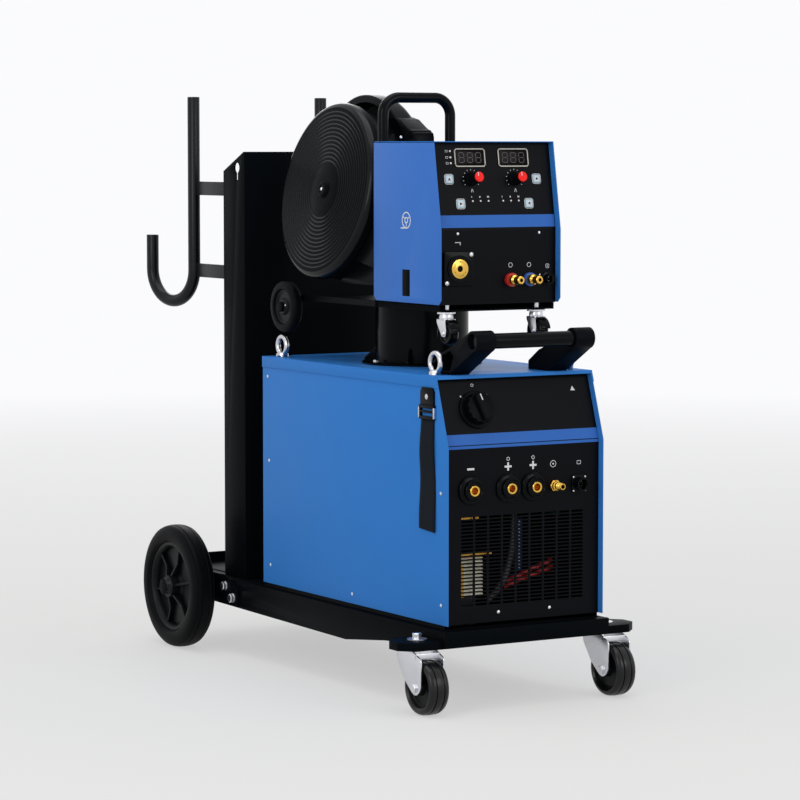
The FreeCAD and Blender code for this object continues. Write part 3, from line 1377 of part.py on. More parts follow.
fascia_half = feeder_inner - S.sheet_gap
fascia_z = feeder_under - S.sheet_gap
fascia = body("feeder_front_panel")
fascia_back = (fascia_z - feeder_slant_foot) * feeder_lean
pad(fascia, "fascia_bend", "YZ_Plane", -fascia_half, fascia_half, [
    (fascia_y, chassis_top + S.sheet_gap), (fascia_y, feeder_slant_foot), (fascia_y + fascia_back, fascia_z),
    (fascia_y + fascia_back + S.front_sheet, fascia_z),
    (fascia_y + S.front_sheet, feeder_slant_foot), (fascia_y + S.front_sheet, chassis_top + S.sheet_gap)])
knob_spots = {"left": (-S.knob_x, knob_height), "right": (S.knob_x, knob_height)}
button_spots = {
    "upper_left": (-button_upper_x, button_upper_height),
    "upper_right": (button_upper_x, button_upper_height),
    "lower_left": (-S.button_lower_x, button_lower_height),
    "lower_right": (S.button_lower_x, button_lower_height),
}
slant_front = fascia_y - 1
slant_rear = fascia_y + fascia_back + S.front_sheet + 1
pocket(fascia, "connector_holes", "XZ_Plane", fascia_y, fascia_y + S.front_sheet,
       circle(euro_x, euro_height, S.euro_radius + S.sheet_gap),
       circle(S.coolant_left_x, coolant_height, S.coolant_radius + S.sheet_gap),
       circle(S.coolant_right_x, coolant_height, S.coolant_radius + S.sheet_gap),
       circle(remote_x, coolant_height, S.remote_radius + S.sheet_gap))
button_room = S.button_half + S.sheet_gap
pocket(fascia, "control_holes", "XZ_Plane", slant_front, slant_rear,
       *[circle(x, z, 4) for x, z in knob_spots.values()],
       *[rectangle((x - button_room, x + button_room), (z - button_room, z + button_room))
         for x, z in button_spots.values()])
node("feeder_front_panel", fascia)

fascia_angle = math.atan(feeder_lean.value)
fascia_turn = Rotation(Vector(1, 0, 0), 90 - math.degrees(fascia_angle))


def fascia_point(x, z, distance=0):
    """A point at a height on the slanted fascia, and at a distance in front of it."""
    y = fascia_y + (size(z) - feeder_slant_foot) * feeder_lean
    return (x, y - distance * math.cos(fascia_angle), size(z) + distance * math.sin(fascia_angle))


for word, (x, z) in knob_spots.items():
    knob = turned(f"knob_turning_{word}", [
        (0, -8), (3, -8), (3, S.sliding_gap), (S.knob_radius, S.sliding_gap), (S.knob_radius, 5),
        (S.knob_cap + 1.5, 9), (S.knob_cap + 0.5, S.knob_reach - 4), (S.knob_cap, S.knob_reach - 3),
        (S.knob_cap, S.knob_reach - 1), (S.knob_cap - 1, S.knob_reach), (0, S.knob_reach)])
    node(f"{word}_knob", place(knob, *fascia_point(x, z), fascia_turn))
for word, (x, z) in button_spots.items():
    button = named("Part::Box", f"button_{word}")
    bind(button, "Length", S.button_half * 2 - 1)
    bind(button, "Width", S.button_half * 2 - 1)
    bind(button, "Height", 5.5)
    corner = fascia_turn.multVec(Vector(-S.button_half.value + 0.5, -S.button_half.value + 0.5, 0))
    spot = fascia_point(x, z, -4)
    place(button, spot[0] + corner.x, spot[1] + corner.y, spot[2] + corner.z, fascia_turn)
    node(f"button_{word}", button)

# Two display windows, set in the fascia above the knobs.
windows = []
for word, x in (("left", -S.display_x), ("right", S.display_x)):
    window = named("Part::Box", f"display_{word}")
    bind(window, "Length", S.display_width)
    bind(window, "Width", S.display_height)
    bind(window, "Height", S.display_sheet)
    corner = fascia_turn.multVec(Vector(-S.display_width.value / 2, -S.display_height.value / 2, 0))
    spot = fascia_point(x, display_mid)
    place(window, spot[0] + corner.x, spot[1] + corner.y, spot[2] + corner.z, fascia_turn)
    windows.append(window)
node("display_windows", group("display_windows", *windows))

# Connectors on the fascia: the torch's central socket, two coolant couplings and a remote socket.
euro_flange = box("euro_flange", (euro_x - S.euro_half, euro_x + S.euro_half), (fascia_y - 6, fascia_y),
                  (euro_height - S.euro_half, euro_height + S.euro_half))
euro_barrel = rod("euro_barrel", "y", (euro_x, fascia_y - 9, euro_height), S.euro_radius, 62)
euro_bore = rod("euro_bore_tool", "y", (euro_x, fascia_y - 9, euro_height), S.euro_bore, 40)
node("euro_socket", cut("euro_socket", fuse("euro_casting", euro_flange, euro_barrel), euro_bore))
couplings = []
for word, x in (("left", S.coolant_left_x), ("right", S.coolant_right_x)):
    radius = S.coolant_radius
    piece = turned(f"coolant_{word}", [
        (radius - 4, -18), (radius - 4, S.coolant_reach), (radius, S.coolant_reach), (radius, 20),
        (radius + 2, 18), (radius + 2, 0), (radius, 0), (radius, -18)])
    couplings.append(place(piece, x, fascia_y, coolant_height, ALONG["-y"]))
node("coolant_couplings", group("coolant_couplings", *couplings))
remote = turned("remote_socket", [
    (S.remote_radius - 3, -6), (S.remote_radius - 3, 12), (S.remote_radius, 12), (S.remote_radius, 2),
    (S.remote_radius + 4, 2), (S.remote_radius + 4, 0), (S.remote_radius, 0), (S.remote_radius, -10),
    (0, -10), (0, -6)])
node("remote_socket", place(remote, remote_x, fascia_y, coolant_height, ALONG["-y"]))

# The wire drive: a geared motor through the divider, with one grooved drive roll on its shaft
# and a sprung arm above it.
drive_sizes = {
    "drive_setback": 215,
    "roll_radius": 18.5,
    "roll_width": 12,
    "motor_radius": 31,
    "motor_length": 110,
    "drive_plate": 10,
}
keep(drive_sizes)
roll_y = back(S.drive_setback)
roll_z = euro_height - S.roll_radius
plate_x = divider_x - S.drive_plate
drive_plate = box("drive_plate_block", (plate_x, divider_x), (roll_y - 45, roll_y + 45), (roll_z - 40, roll_z + 62))
gear_motor = rod("gear_motor", "x", (divider_x + S.chassis_sheet, roll_y, roll_z), S.motor_radius,
                 S.motor_length)
drive_shaft = rod("drive_shaft", "-x", (plate_x, roll_y, roll_z), 5, 26)
upper_arm = box("drive_arm", (plate_x - 22, plate_x), (roll_y - 36, roll_y + 36),
                (roll_z + S.roll_radius * 2 + 6, roll_z + S.roll_radius * 2 + 18))
upper_roll = rod("pressure_roll", "-x", (plate_x - 3, roll_y, roll_z + S.roll_radius * 2 + 0.2),
                 S.roll_radius - 1, S.roll_width)
node("drive_unit", group("drive_unit", fuse("drive_casting", drive_plate, drive_shaft, upper_arm, upper_roll),
                         gear_motor))
drive_roll = turned("drive_roll", [
    (5 + S.running_gap, 0), (5 + S.running_gap, S.roll_width), (S.roll_radius, S.roll_width),
    (S.roll_radius, S.roll_width / 2 + 1.5), (S.roll_radius - 1.5, S.roll_width / 2),
    (S.roll_radius, S.roll_width / 2 - 1.5), (S.roll_radius, 0)])
node("drive_roll", place(drive_roll, plate_x - 3 - S.roll_width, roll_y, roll_z, ALONG["x"]))

# The feeder's carrying handle: a bent tube on two flanges on the case's top.
grip_sizes = {
    "grip_inset": 11,
    "grip_right_x": 28,
    "grip_setback": 314,
    "grip_rise": 92,
    "grip_radius": 10,
    "grip_bend": 34,
    "grip_flange": 15,
}
keep(grip_sizes)
grip_top = feeder_panel_top + S.grip_rise
grip_left_x = -(feeder_half - S.grip_inset)
grip_y = back(S.grip_setback)
grip_z = grip_top - S.grip_radius
legs_top = grip_z - S.grip_bend
grip_parts = [rod("grip_bar", "x", (grip_left_x + S.grip_bend, grip_y, grip_z), S.grip_radius,
                  S.grip_right_x - grip_left_x - S.grip_bend * 2)]
for word, x, turn in (("left", grip_left_x, 90), ("right", S.grip_right_x, 0)):
    inward = S.grip_bend if word == "left" else -S.grip_bend
    grip_parts += [
        rod(f"grip_leg_{word}", "z", (x, grip_y, feeder_panel_top), S.grip_radius,
            legs_top - feeder_panel_top),
        rod(f"grip_flange_{word}", "z", (x, grip_y, feeder_panel_top), S.grip_flange, 3),
        ring(f"grip_corner_{word}", Rotation(Vector(1, 0, 0), 90).multiply(Rotation(Vector(0, 0, 1), turn)),
             (x + inward, grip_y, legs_top), S.grip_bend, S.grip_radius, sweep=90),
    ]
node("feeder_handle", fuse("feeder_handle", *grip_parts))

# The spool housing: a round moulded tub behind the case, leaning on its side, whose wall runs
# on in straight tangents to the bulkhead. It holds the wire spool on a fixed spindle, and a
# ridged round lid closes its open side.
drum_sizes = {
    "drum_setback": 520,
    "drum_rise": 218,
    "drum_tilt": 10.6,
    "tub_room": 15,
    "tub_wall": 3.5,
    "tub_mouth": 14,
    "tub_end_gap": 10,
    "neck_drop": 2,
    "neck_rise": 75,
    "lid_lap": 6,
    "lid_wall": 3,
    "lid_skirt": 26,
    "lid_round": 12,
    "spool_radius": 150,
    "spool_width": 100,
    "spool_bore": 25.5,
    "spool_start": 15,
    "wire_inset": 22,
    "lid_ridges": 8,
}
keep(drum_sizes)
tub_radius = S.spool_radius + S.tub_room
tub_depth = S.spool_start + S.spool_width + S.tub_end_gap
lid_radius = tub_radius + S.lid_lap
wire_radius = S.spool_radius - S.wire_inset
neck_foot = feeder_foot + S.neck_rise
neck_top = feeder_panel_top - S.neck_drop
drum_height = feeder_foot + S.drum_rise
drum_x = -feeder_half
drum_y = back(S.drum_setback)
tilt = Rotation(Vector(0, 1, 0), S.drum_tilt.value)
drum_turn = tilt.multiply(ALONG["x"])
neck_reach = S.drum_setback - S.feeder_rear_setback


def drum_point(depth):
    """A point on the drum's axis, at a depth behind the lid's face."""
    along = tilt.multVec(Vector(1, 0, 0))
    return (drum_x + depth * along.x, drum_y, drum_height + depth * along.z)


def tub_solid(name, radius, start, neck_start, end, shrink):
    """The tub's outer or inner form: a drum with straight tangents to the bulkhead."""
    barrel = rod(f"{name}_barrel", drum_turn, drum_point(size(start)), radius, size(end) - start)
    steep = 0.62
    upper = (radius * -steep, radius * math.sqrt(1 - steep * steep))
    lower = (radius * -steep, radius * -math.sqrt(1 - steep * steep))
    wedge = slab(f"{name}_neck", "YZ_Plane", neck_start, end, [
        (-neck_reach, neck_foot - drum_height + shrink),
        (-neck_reach, neck_top - drum_height - shrink - 15),
        upper, (size(0), size(0)), lower,
    ])
    place(wedge, drum_x, drum_y, drum_height, tilt)
    return fuse(f"{name}_form", barrel, wedge)


neck_face = S.lid_skirt + 1
tub_outer = tub_solid("tub_outer", tub_radius, S.tub_mouth, neck_face, tub_depth, 0)
tub_inner = tub_solid("tub_inner", tub_radius - S.tub_wall, S.tub_mouth - 5, neck_face + S.tub_wall,
                      tub_depth - S.tub_wall, S.tub_wall)
spool_spindle = rod("spool_spindle", drum_turn, drum_point(S.tub_mouth), S.spool_bore - S.running_gap,
                    tub_depth - S.tub_mouth - 1)
node("spool_housing", fuse("spool_housing", cut("tub_shell", tub_outer, tub_inner), spool_spindle))

ridge_step = (lid_radius - S.lid_round - 32) / (S.lid_ridges * 2)
outer_face = [(lid_radius, S.lid_skirt), (lid_radius, S.lid_round), (lid_radius - S.lid_round * 0.3, S.lid_round * 0.3),
              (lid_radius - S.lid_round, size(0))]
inner_face = []
for number in range(int(S.lid_ridges.value) * 2 - 1):
    radius = lid_radius - S.lid_round - ridge_step * (number + 1)
    height = size(-1.6) if number % 2 else size(0.4)
    outer_face.append((radius, height))
outer_face += [(size(30), size(-2)), (size(27), size(-5)), (size(12), size(-6)), (size(10), size(-3)),
               (size(0), size(-3))]
inner_face = [(size(0), S.lid_wall), (lid_radius - S.lid_round - 2, S.lid_wall + 0.6),
              (lid_radius - S.lid_wall, S.lid_round + 1), (lid_radius - S.lid_wall, S.lid_skirt)]
lid = turned("spool_lid", outer_face + inner_face)
node("spool_lid", place(lid, *drum_point(size(0)), drum_turn))

half = S.spool_width / 2
spool = turned("wire_spool", [
    (S.spool_bore, 0), (S.spool_radius, 0), (S.spool_radius, 4), (wire_radius + 2, 5),
    (wire_radius, 8), (wire_radius, S.spool_width - 8), (wire_radius + 2, S.spool_width - 5),
    (S.spool_radius, S.spool_width - 4), (S.spool_radius, S.spool_width), (S.spool_bore, S.spool_width)])
node("wire_spool", place(spool, *drum_point(S.spool_start), drum_turn))

doc.recompute()
faults = [obj.Name for obj in doc.Objects if "Invalid" in obj.State or "Error" in obj.State]
for name, obj in NODES.items():
    shape = obj.Shape
    if shape.isNull() or not shape.isValid() or not shape.Solids:
        faults.append(name)
if faults:
    raise RuntimeError("failed objects: " + ", ".join(faults))
if len(NODES) > 60:
    raise RuntimeError("too many nodes")
os.makedirs("parts", exist_ok=True)
for name, obj in NODES.items():
    obj.Shape.exportStep(f"parts/{name}.step")
print(len(NODES), "nodes", sum(len(obj.Shape.Solids) for obj in NODES.values()), "solids")
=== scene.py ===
from math import atan, atan2, cos, pi, radians, sin, sqrt, tau

import bpy
from mathutils import Matrix, Vector


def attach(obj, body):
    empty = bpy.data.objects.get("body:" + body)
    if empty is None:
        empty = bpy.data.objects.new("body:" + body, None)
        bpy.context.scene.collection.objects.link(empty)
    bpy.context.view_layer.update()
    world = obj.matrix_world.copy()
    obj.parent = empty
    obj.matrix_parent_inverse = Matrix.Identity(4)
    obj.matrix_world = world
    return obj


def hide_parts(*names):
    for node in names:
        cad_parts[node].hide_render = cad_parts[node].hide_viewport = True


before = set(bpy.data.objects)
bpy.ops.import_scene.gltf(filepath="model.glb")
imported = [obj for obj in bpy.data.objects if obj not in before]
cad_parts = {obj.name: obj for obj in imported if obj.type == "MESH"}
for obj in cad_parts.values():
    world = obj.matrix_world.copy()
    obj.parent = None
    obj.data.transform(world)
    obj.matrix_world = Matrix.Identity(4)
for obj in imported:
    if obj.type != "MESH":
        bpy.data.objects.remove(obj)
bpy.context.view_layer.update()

# The camera stands ahead of the machine and to its left, about a metre above the floor.
# Its long lens keeps upright edges nearly parallel.
look_down, look_right = 4.56, 30.71
bpy.ops.object.camera_add(location=(-3.1392, -5.4026, 1.0210),
                          rotation=(radians(90 - look_down), 0, radians(-look_right)))
camera = bpy.context.object
camera.data.sensor_width = 36
camera.data.lens = 143.19
bpy.context.scene.camera = camera
bpy.context.scene.view_settings.view_transform = "Standard"


# The studio: a wide pale floor that fades into an equally pale surround, soft light all round,
# and big soft lamps: one overhead, one on each side in front and one behind.
def srgb(red, green, blue):
    """A colour as it is read off a screen, 0 to 255, in linear light."""
    return tuple((c / 255 / 12.92 if c <= 10 else ((c / 255 + 0.055) / 1.055) ** 2.4)
                 for c in (red, green, blue))


def add_node(tree, kind, inputs=None, output=0, **settings):
    """Add a shader node and return one output. Each input is a value or another node's output."""
    made = tree.nodes.new("ShaderNode" + kind)
    for key, value in settings.items():
        setattr(made, key, value)
    for key, value in (inputs or {}).items():
        if isinstance(value, bpy.types.NodeSocket):
            tree.links.new(value, made.inputs[key])
        else:
            made.inputs[key].default_value = value
    return made.outputs[output] if made.outputs else None


def maths(tree, operation, *values):
    """Add a node that does one sum."""
    return add_node(tree, "Math", dict(enumerate(values)), operation=operation)


def camera_sees(tree):
    """One for rays that show the surround itself, directly, mirrored or through glass."""
    path = add_node(tree, "LightPath").node.outputs
    seen = maths(tree, "MAXIMUM", path["Is Camera Ray"], path["Is Glossy Ray"])
    return maths(tree, "MAXIMUM", seen, path["Is Transmission Ray"])


surround_colour = (*srgb(251, 251, 253), 1)
floor_colour = (*srgb(215, 215, 214), 1)
near_white = (*srgb(225, 225, 225), 1)
sky_light = 0.8
world = bpy.data.worlds.new("studio")
bpy.context.scene.world = world
world.use_nodes = True
tree = world.node_tree
tree.nodes.clear()
lit = add_node(tree, "Background", {"Color": (1, 1, 1, 1), "Strength": sky_light})
shown = add_node(tree, "Background", {"Color": surround_colour, "Strength": 1.0})
mixed = add_node(tree, "MixShader", {0: camera_sees(tree), 1: lit, 2: shown})
add_node(tree, "OutputWorld", {0: mixed})

floor_radius, fade_from, fade_to = 60, 0.8, 7.0
least_share = 0.66
bpy.ops.mesh.primitive_circle_add(vertices=96, radius=floor_radius, fill_type="NGON")
floor = bpy.context.object
floor.name = "studio_floor"
paper = bpy.data.materials.new("studio_paper")
paper.use_nodes = True
tree = paper.node_tree
tree.nodes.clear()
place = add_node(tree, "TexCoord", output="Object")
away = add_node(tree, "VectorMath", {0: place}, "Value", operation="LENGTH")
fade = add_node(tree, "MapRange", {0: away, 1: fade_from, 2: fade_to})
shown = add_node(tree, "MapRange", {0: fade, 3: least_share, 4: 1.0})
share = maths(tree, "MULTIPLY", shown, camera_sees(tree))
glow = add_node(tree, "Mix", {0: fade, 6: near_white, 7: surround_colour}, 2, data_type="RGBA")
near = add_node(tree, "BsdfDiffuse", {"Color": floor_colour})
far = add_node(tree, "Emission", {"Color": glow})
mixed = add_node(tree, "MixShader", {0: share, 1: near, 2: far})
add_node(tree, "OutputMaterial", {0: mixed})
floor.data.materials.append(paper)

lamps_aim_at = Vector((0, 0, 0.55))
for name, where, width, power in (
        ("overhead", (-0.3, -0.2, 3.4), 2.6, 38), ("left_front", (-3.4, -1.9, 1.9), 1.8, 34),
        ("right_front", (1.4, -4.2, 2.0), 1.6, 28), ("rear", (1.8, 3.6, 2.4), 1.6, 20)):
    aim = (lamps_aim_at - Vector(where)).to_track_quat("-Z", "Y").to_euler()
    bpy.ops.object.light_add(type="AREA", location=where, rotation=aim)
    lamp = bpy.context.object
    lamp.name = name
    lamp.data.shape = "SQUARE"
    lamp.data.size = width
    lamp.data.energy = power


# The cart's tray: folded steel sheet in black powder coat. The coat has the faint orange peel,
# the uneven gloss and the slight drift of tone that a sprayed and baked coat has.
def grain_group():
    """The uneven tone, gloss and relief of a coated or moulded surface."""
    group = bpy.data.node_groups.new("surface_grain", "ShaderNodeTree")
    for way, kind, labels in (
            ("INPUT", "Color", ["Colour"]),
            ("INPUT", "Float", ["Drift", "Grain", "Depth", "Roughness", "Patchiness"]),
            ("OUTPUT", "Color", ["Colour"]), ("OUTPUT", "Float", ["Roughness"]),
            ("OUTPUT", "Vector", ["Normal"])):
        for label in labels:
            group.interface.new_socket(label, in_out=way, socket_type="NodeSocket" + kind)
    given = group.nodes.new("NodeGroupInput").outputs
    where = add_node(group, "TexCoord", output="Object")
    fineness = maths(group, "DIVIDE", 1.0, given["Grain"])
    fine = add_node(group, "TexNoise", {"Vector": where, "Scale": fineness, "Detail": 3.0})
    broad = add_node(group, "TexNoise", {"Vector": where, "Scale": 14.0, "Detail": 4.0})
    swing = maths(group, "SUBTRACT", broad, 0.5)
    tone = maths(group, "MULTIPLY_ADD", swing, given["Drift"], 1.0)
    colour = add_node(group, "VectorMath", {0: given["Colour"], "Scale": tone}, operation="SCALE")
    gloss = maths(group, "MULTIPLY_ADD", swing, given["Patchiness"], given["Roughness"])
    relief = add_node(group, "Bump", {"Height": fine, "Distance": given["Depth"], "Strength": 1.0})
    result = group.nodes.new("NodeGroupOutput").inputs
    for number, socket in enumerate((colour, gloss, relief)):
        group.links.new(socket, result[number])
    return group


surface_grain = grain_group()


def surface(name, colour, grain, depth, roughness, patchiness=0.1, drift=0.12, metallic=0.0,
            specular=0.5):
    """A material: its colour on a screen, grain size and depth in millimetres, and its gloss."""
    made = bpy.data.materials.new(name)
    made.use_nodes = True
    tree = made.node_tree
    shader = tree.nodes["Principled BSDF"].inputs
    shader["Metallic"].default_value = metallic
    shader["Specular IOR Level"].default_value = specular
    grained = add_node(tree, "Group", {
        "Colour": (*srgb(*colour), 1), "Drift": drift, "Grain": grain / 1000, "Depth": depth / 1000,
        "Roughness": roughness, "Patchiness": patchiness}, node_tree=surface_grain).node.outputs
    for label, socket in (("Colour", "Base Color"), ("Roughness", "Roughness"), ("Normal", "Normal")):
        tree.links.new(grained[label], shader[socket])
    return made


def only(piece):
    """Select one object and nothing else."""
    bpy.ops.object.select_all(action="DESELECT")
    piece.select_set(True)
    bpy.context.view_layer.objects.active = piece


def settle(piece, place=None):
    """Move a piece to its place, if one is given, and bring its origin back to the frame's."""
    if place is not None:
        piece.matrix_world = place
    only(piece)
    bpy.ops.object.transform_apply(location=True, rotation=True, scale=True)
    return piece


def ease(piece, width, segments=2, angle=35):
    """Round off the sharp edges of a piece by a width in millimetres."""
    only(piece)
    bpy.ops.object.modifier_add(type="BEVEL")
    bevel = piece.modifiers[-1]
    bevel.width = width / 1000
    bevel.segments = segments
    bevel.limit_method = "ANGLE"
    bevel.angle_limit = radians(angle)
    bpy.ops.object.modifier_apply(modifier=bevel.name)
    return piece


def join(parts):
    """Make one object of several."""
    only(parts[0])
    for part in parts[1:]:
        part.select_set(True)
    bpy.ops.object.join()
    return bpy.context.object


def fit(name, parts, body, material, node=None, smooth=35):
    """Finish a piece that is one object or a list of parts: its name, its material, its shading,
    the body that carries it and the node that it stands for."""
    piece = join(parts) if isinstance(parts, list) else parts
    piece.name = piece.data.name = name
    settle(piece)
    piece.data.materials.clear()
    piece.data.materials.append(material)
    bpy.ops.object.shade_smooth_by_angle(angle=radians(smooth))
    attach(piece, body)
    if node:
        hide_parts(node)


def finished(node, parts, body, material, smooth=35):
    """A piece that stands for the node whose name it has."""
    fit(node + "_finished", parts, body, material, node, smooth)


def pressed(node, body, material, width, segments=2, smooth=35):
    """A sheet or moulding as the frame has it, its edges eased as pressing or moulding leaves them."""
    piece = bpy.data.objects.new(node + "_finished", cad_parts[node].data.copy())
    bpy.context.scene.collection.objects.link(piece)
    only(piece)
    bpy.ops.object.mode_set(mode="EDIT")
    bpy.ops.mesh.select_all(action="SELECT")
    bpy.ops.mesh.remove_doubles(threshold=0.00001)
    bpy.ops.mesh.dissolve_limited(angle_limit=radians(0.5))
    bpy.ops.object.mode_set(mode="OBJECT")
    if width:
        ease(piece, width, segments)
    finished(node, piece, body, material, smooth)


black_coat = surface("black_powder_coat", (5, 8, 11), 1.4, 0.02, 0.42, patchiness=0.12, specular=0.02)
for node, width, segments in (("cart_tray", 1.0, 2), ("front_crossmember", 2.5, 3), ("column", 1.2, 2),
                              ("rear_axle", 0.8, 2)):
    pressed(node, "cart", black_coat, width, segments)


# The cable hooks: a 25 mm steel bar bent to a J, welded to two flat straps that bolt to the column.
# The whole is powder coated a little glossier than the sheet.
def spot(x, setback, height):
    """A point in metres, from millimetres. The setback runs to the rear from the case's front."""
    return Vector((x, setback - 570, height)) / 1000


def close_up():
    """Merge seams and poles, turn every face outwards and leave edit mode."""
    bpy.ops.mesh.select_all(action="SELECT")
    bpy.ops.mesh.remove_doubles(threshold=0.00001)
    bpy.ops.mesh.normals_make_consistent(inside=False)
    bpy.ops.object.mode_set(mode="OBJECT")


def bent_bar(radius, start, moves, sides, arc_step):
    """Bend a round bar: each move is a straight run, or a turn given by centre, axis and degrees."""
    heading = moves[0].to_track_quat("Z", "Y").to_euler()
    bpy.ops.mesh.primitive_circle_add(vertices=sides, radius=radius / 1000, fill_type="NGON",
                                      location=start, rotation=heading)
    piece = settle(bpy.context.object)
    bpy.ops.object.mode_set(mode="EDIT")
    bpy.ops.mesh.select_all(action="SELECT")
    for move in moves:
        if isinstance(move, Vector):
            bpy.ops.mesh.extrude_region_move(TRANSFORM_OT_translate={"value": move})
        else:
            centre, axis, degrees = move
            bpy.ops.mesh.spin(steps=max(2, round(degrees / arc_step)), angle=-radians(degrees),
                              center=centre, axis=axis)
    close_up()
    return piece


def block(low, high, edge=0.6, segments=2):
    """A block between two corners with eased edges."""
    bpy.ops.mesh.primitive_cube_add(size=1, location=(low + high) / 2, scale=high - low)
    return ease(settle(bpy.context.object), edge, segments)


hook_coat = surface("hook_coat", (9, 12, 14), 1.2, 0.015, 0.28, patchiness=0.15, specular=0.2)
hook_x, hook_setback, hook_top, bend_height, bend_radius = 149.5, 1032, 1122, 767, 66
bar_radius, strap_front, splay = 12.5, 845, radians(14)
parts = []
for side in (-1, 1):
    out = Vector((side * sin(splay), cos(splay), 0))
    turn_axis = Vector((0, 0, -1)).cross(out)
    top = spot(side * hook_x, hook_setback, hook_top)
    bend_centre = spot(side * hook_x, hook_setback, bend_height) + out * bend_radius / 1000
    run = Vector((0, 0, (bend_height - hook_top) / 1000))
    moves = [run, (bend_centre, turn_axis, 180), Vector((0, 0, 0.07))]
    parts.append(ease(bent_bar(bar_radius, top, moves, 32, 6), 1.2, 2, 60))
    for height in (753, 921):
        parts.append(block(spot(side * hook_x - 2.5, strap_front, height),
                           spot(side * hook_x + 2.5, hook_setback - 4, height + 28)))
finished("cable_hooks", parts, "cart", hook_coat)


# The bolts: zinc-plated hexagon heads with a chamfer, for the casters' stems, the axle brackets and
# the column's foot. Those of the stems and the brackets have washers.
def chain(points):
    """Start a mesh as one line through points, in edit mode and all selected."""
    bpy.ops.mesh.primitive_plane_add(size=1)
    bpy.ops.object.mode_set(mode="EDIT")
    bpy.ops.mesh.select_mode(type="VERT")
    bpy.ops.mesh.select_all(action="SELECT")
    bpy.ops.mesh.merge(type="CENTER")
    bpy.ops.transform.translate(value=points[0])
    for start, end in zip(points, points[1:]):
        bpy.ops.mesh.extrude_region_move(TRANSFORM_OT_translate={"value": end - start})
    bpy.ops.mesh.select_all(action="SELECT")
    return bpy.context.object


def turned(profile, steps=64):
    """Turn a profile of (radius, height) points in millimetres about the upright axis, as on a
    lathe. A profile that doesn't end on the axis closes on its first point."""
    closing = profile[:1] if profile[-1][0] else []
    piece = chain([Vector((radius, 0, height)) / 1000 for radius, height in profile + closing])
    bpy.ops.mesh.spin(steps=steps, angle=tau, center=(0, 0, 0), axis=(0, 0, 1))
    close_up()
    return piece


def rod(radius, low, high, steps):
    return turned([(0, low), (radius, low), (radius, high), (0, high)], steps)


def hex_head(across, height):
    """A hexagon head with the chamfer that its corners have."""
    radius = across / sqrt(3)
    return turned([(0, 0), (radius, 0), (radius, height - 1.2), (radius - 1.4, height), (0, height)], 6)


def stand(piece, where, axis=(0, 0, 1), roll=0):
    """Put a piece that was made upright at the origin where it belongs, along an axis."""
    turn = Vector(axis).to_track_quat("Z", "Y").to_matrix().to_4x4() @ Matrix.Rotation(roll, 4, "Z")
    return settle(piece, Matrix.Translation(where) @ turn)


zinc = surface("bright_zinc", (214, 215, 220), 3.5, 0.012, 0.3, patchiness=0.25, drift=0.3, metallic=1.0)
caster_x, stem_setback, washer = 203, 50, 1.5
parts = []
for side in (-1, 1):
    parts.append(stand(hex_head(16, 7), spot(side * 100, 825, 153), roll=0.4))
    outwards = Vector((side, 0, 0))
    for setback, height in ((838, 135), (805, 114)):
        bracket = spot(side * 182, setback, height)
        parts += [stand(rod(10, 0, washer, 32), bracket, outwards),
                  stand(hex_head(16, 7), bracket + outwards * washer / 1000, outwards, 0.4)]
    stem = spot(side * caster_x, stem_setback, 133)
    parts += [stand(rod(6, -22, 0, 24), stem), stand(rod(18.5, 0, washer, 40), stem),
              stand(hex_head(15, 10), stem + Vector((0, 0, washer / 1000)), roll=0.3)]
finished("cart_bolts", parts, "cart", zinc)


# A cart caster: a pressed zinc fork under a ball race, and a solid rubber tyre on a plastic hub
# that turns on a bolt.
def plate(outline, thickness, rounding=2.0, edge=0.4):
    """A sheet cut to an outline of points, with rounded corners, then thickened along a vector."""
    piece = chain([Vector(point) for point in outline])
    bpy.ops.mesh.edge_face_add()
    if rounding:
        bpy.ops.mesh.bevel(offset=rounding / 1000, segments=4, affect="VERTICES")
    bpy.ops.mesh.select_all(action="SELECT")
    bpy.ops.mesh.extrude_region_move(TRANSFORM_OT_translate={"value": Vector(thickness) / 1000})
    close_up()
    return ease(piece, edge, 2, 50) if edge else piece


def mirrored(half):
    """A closed profile from the half of it that runs from the bore to the tread's middle."""
    return [(r, -h) for r, h in half] + [(r, h) for r, h in reversed(half)]


def fork_legs(x, axle, leg, inside, sheet, rounding, nut, roll=0):
    """The two legs of a fork, each with a nut on the axle. The inside is half the gap."""
    parts = []
    for end in (-1, 1):
        outline = [spot(x + end * inside, y, z) for y, z in leg]
        parts.append(plate(outline, (end * sheet, 0, 0), rounding))
        place = axle + Vector((end * (inside + sheet) / 1000, 0, 0))
        parts.append(stand(hex_head(*nut), place, (end, 0, 0), roll))
    return parts


rubber = surface("tyre_rubber", (6, 7, 9), 0.9, 0.03, 0.5, patchiness=0.2, drift=0.2, specular=0.06)
caster_rubber = surface("caster_rubber", (12, 12, 14), 0.9, 0.02, 0.3, patchiness=0.25, drift=0.2,
                        specular=0.3)
hub_plastic = surface("hub_plastic", (8, 10, 12), 0.7, 0.02, 0.4, specular=0.14)
tyre_half = [(34, 11), (36, 14), (37, 17), (39, 18.4), (40.5, 20), (43.5, 20), (46.5, 18.4), (48.5, 15),
             (49.6, 10.4), (49.4, 9.2), (47.8, 8.6), (47.8, 7), (49.6, 6.4), (50, 3)]
hub_half = [(5.1, 22), (11, 22), (12.5, 20), (14, 11), (16, 10), (32, 10), (34, 12), (35, 12), (35, 9)]
leg = [(63, 121.4), (82, 111.8), (78, 95), (53, 62), (28, 42), (16, 36.5), (4, 41), (-4, 52), (-4, 104),
       (37, 121.4)]
race = [(6.1, -3), (19, -3), (24, 0), (24, 2.6), (22.4, 3.2), (24, 3.8), (24, 7), (6.1, 7)]
axle_setback, axle_height, fork_inside, fork_sheet = 16, 50, 22.3, 3
fork_outside = fork_inside + fork_sheet
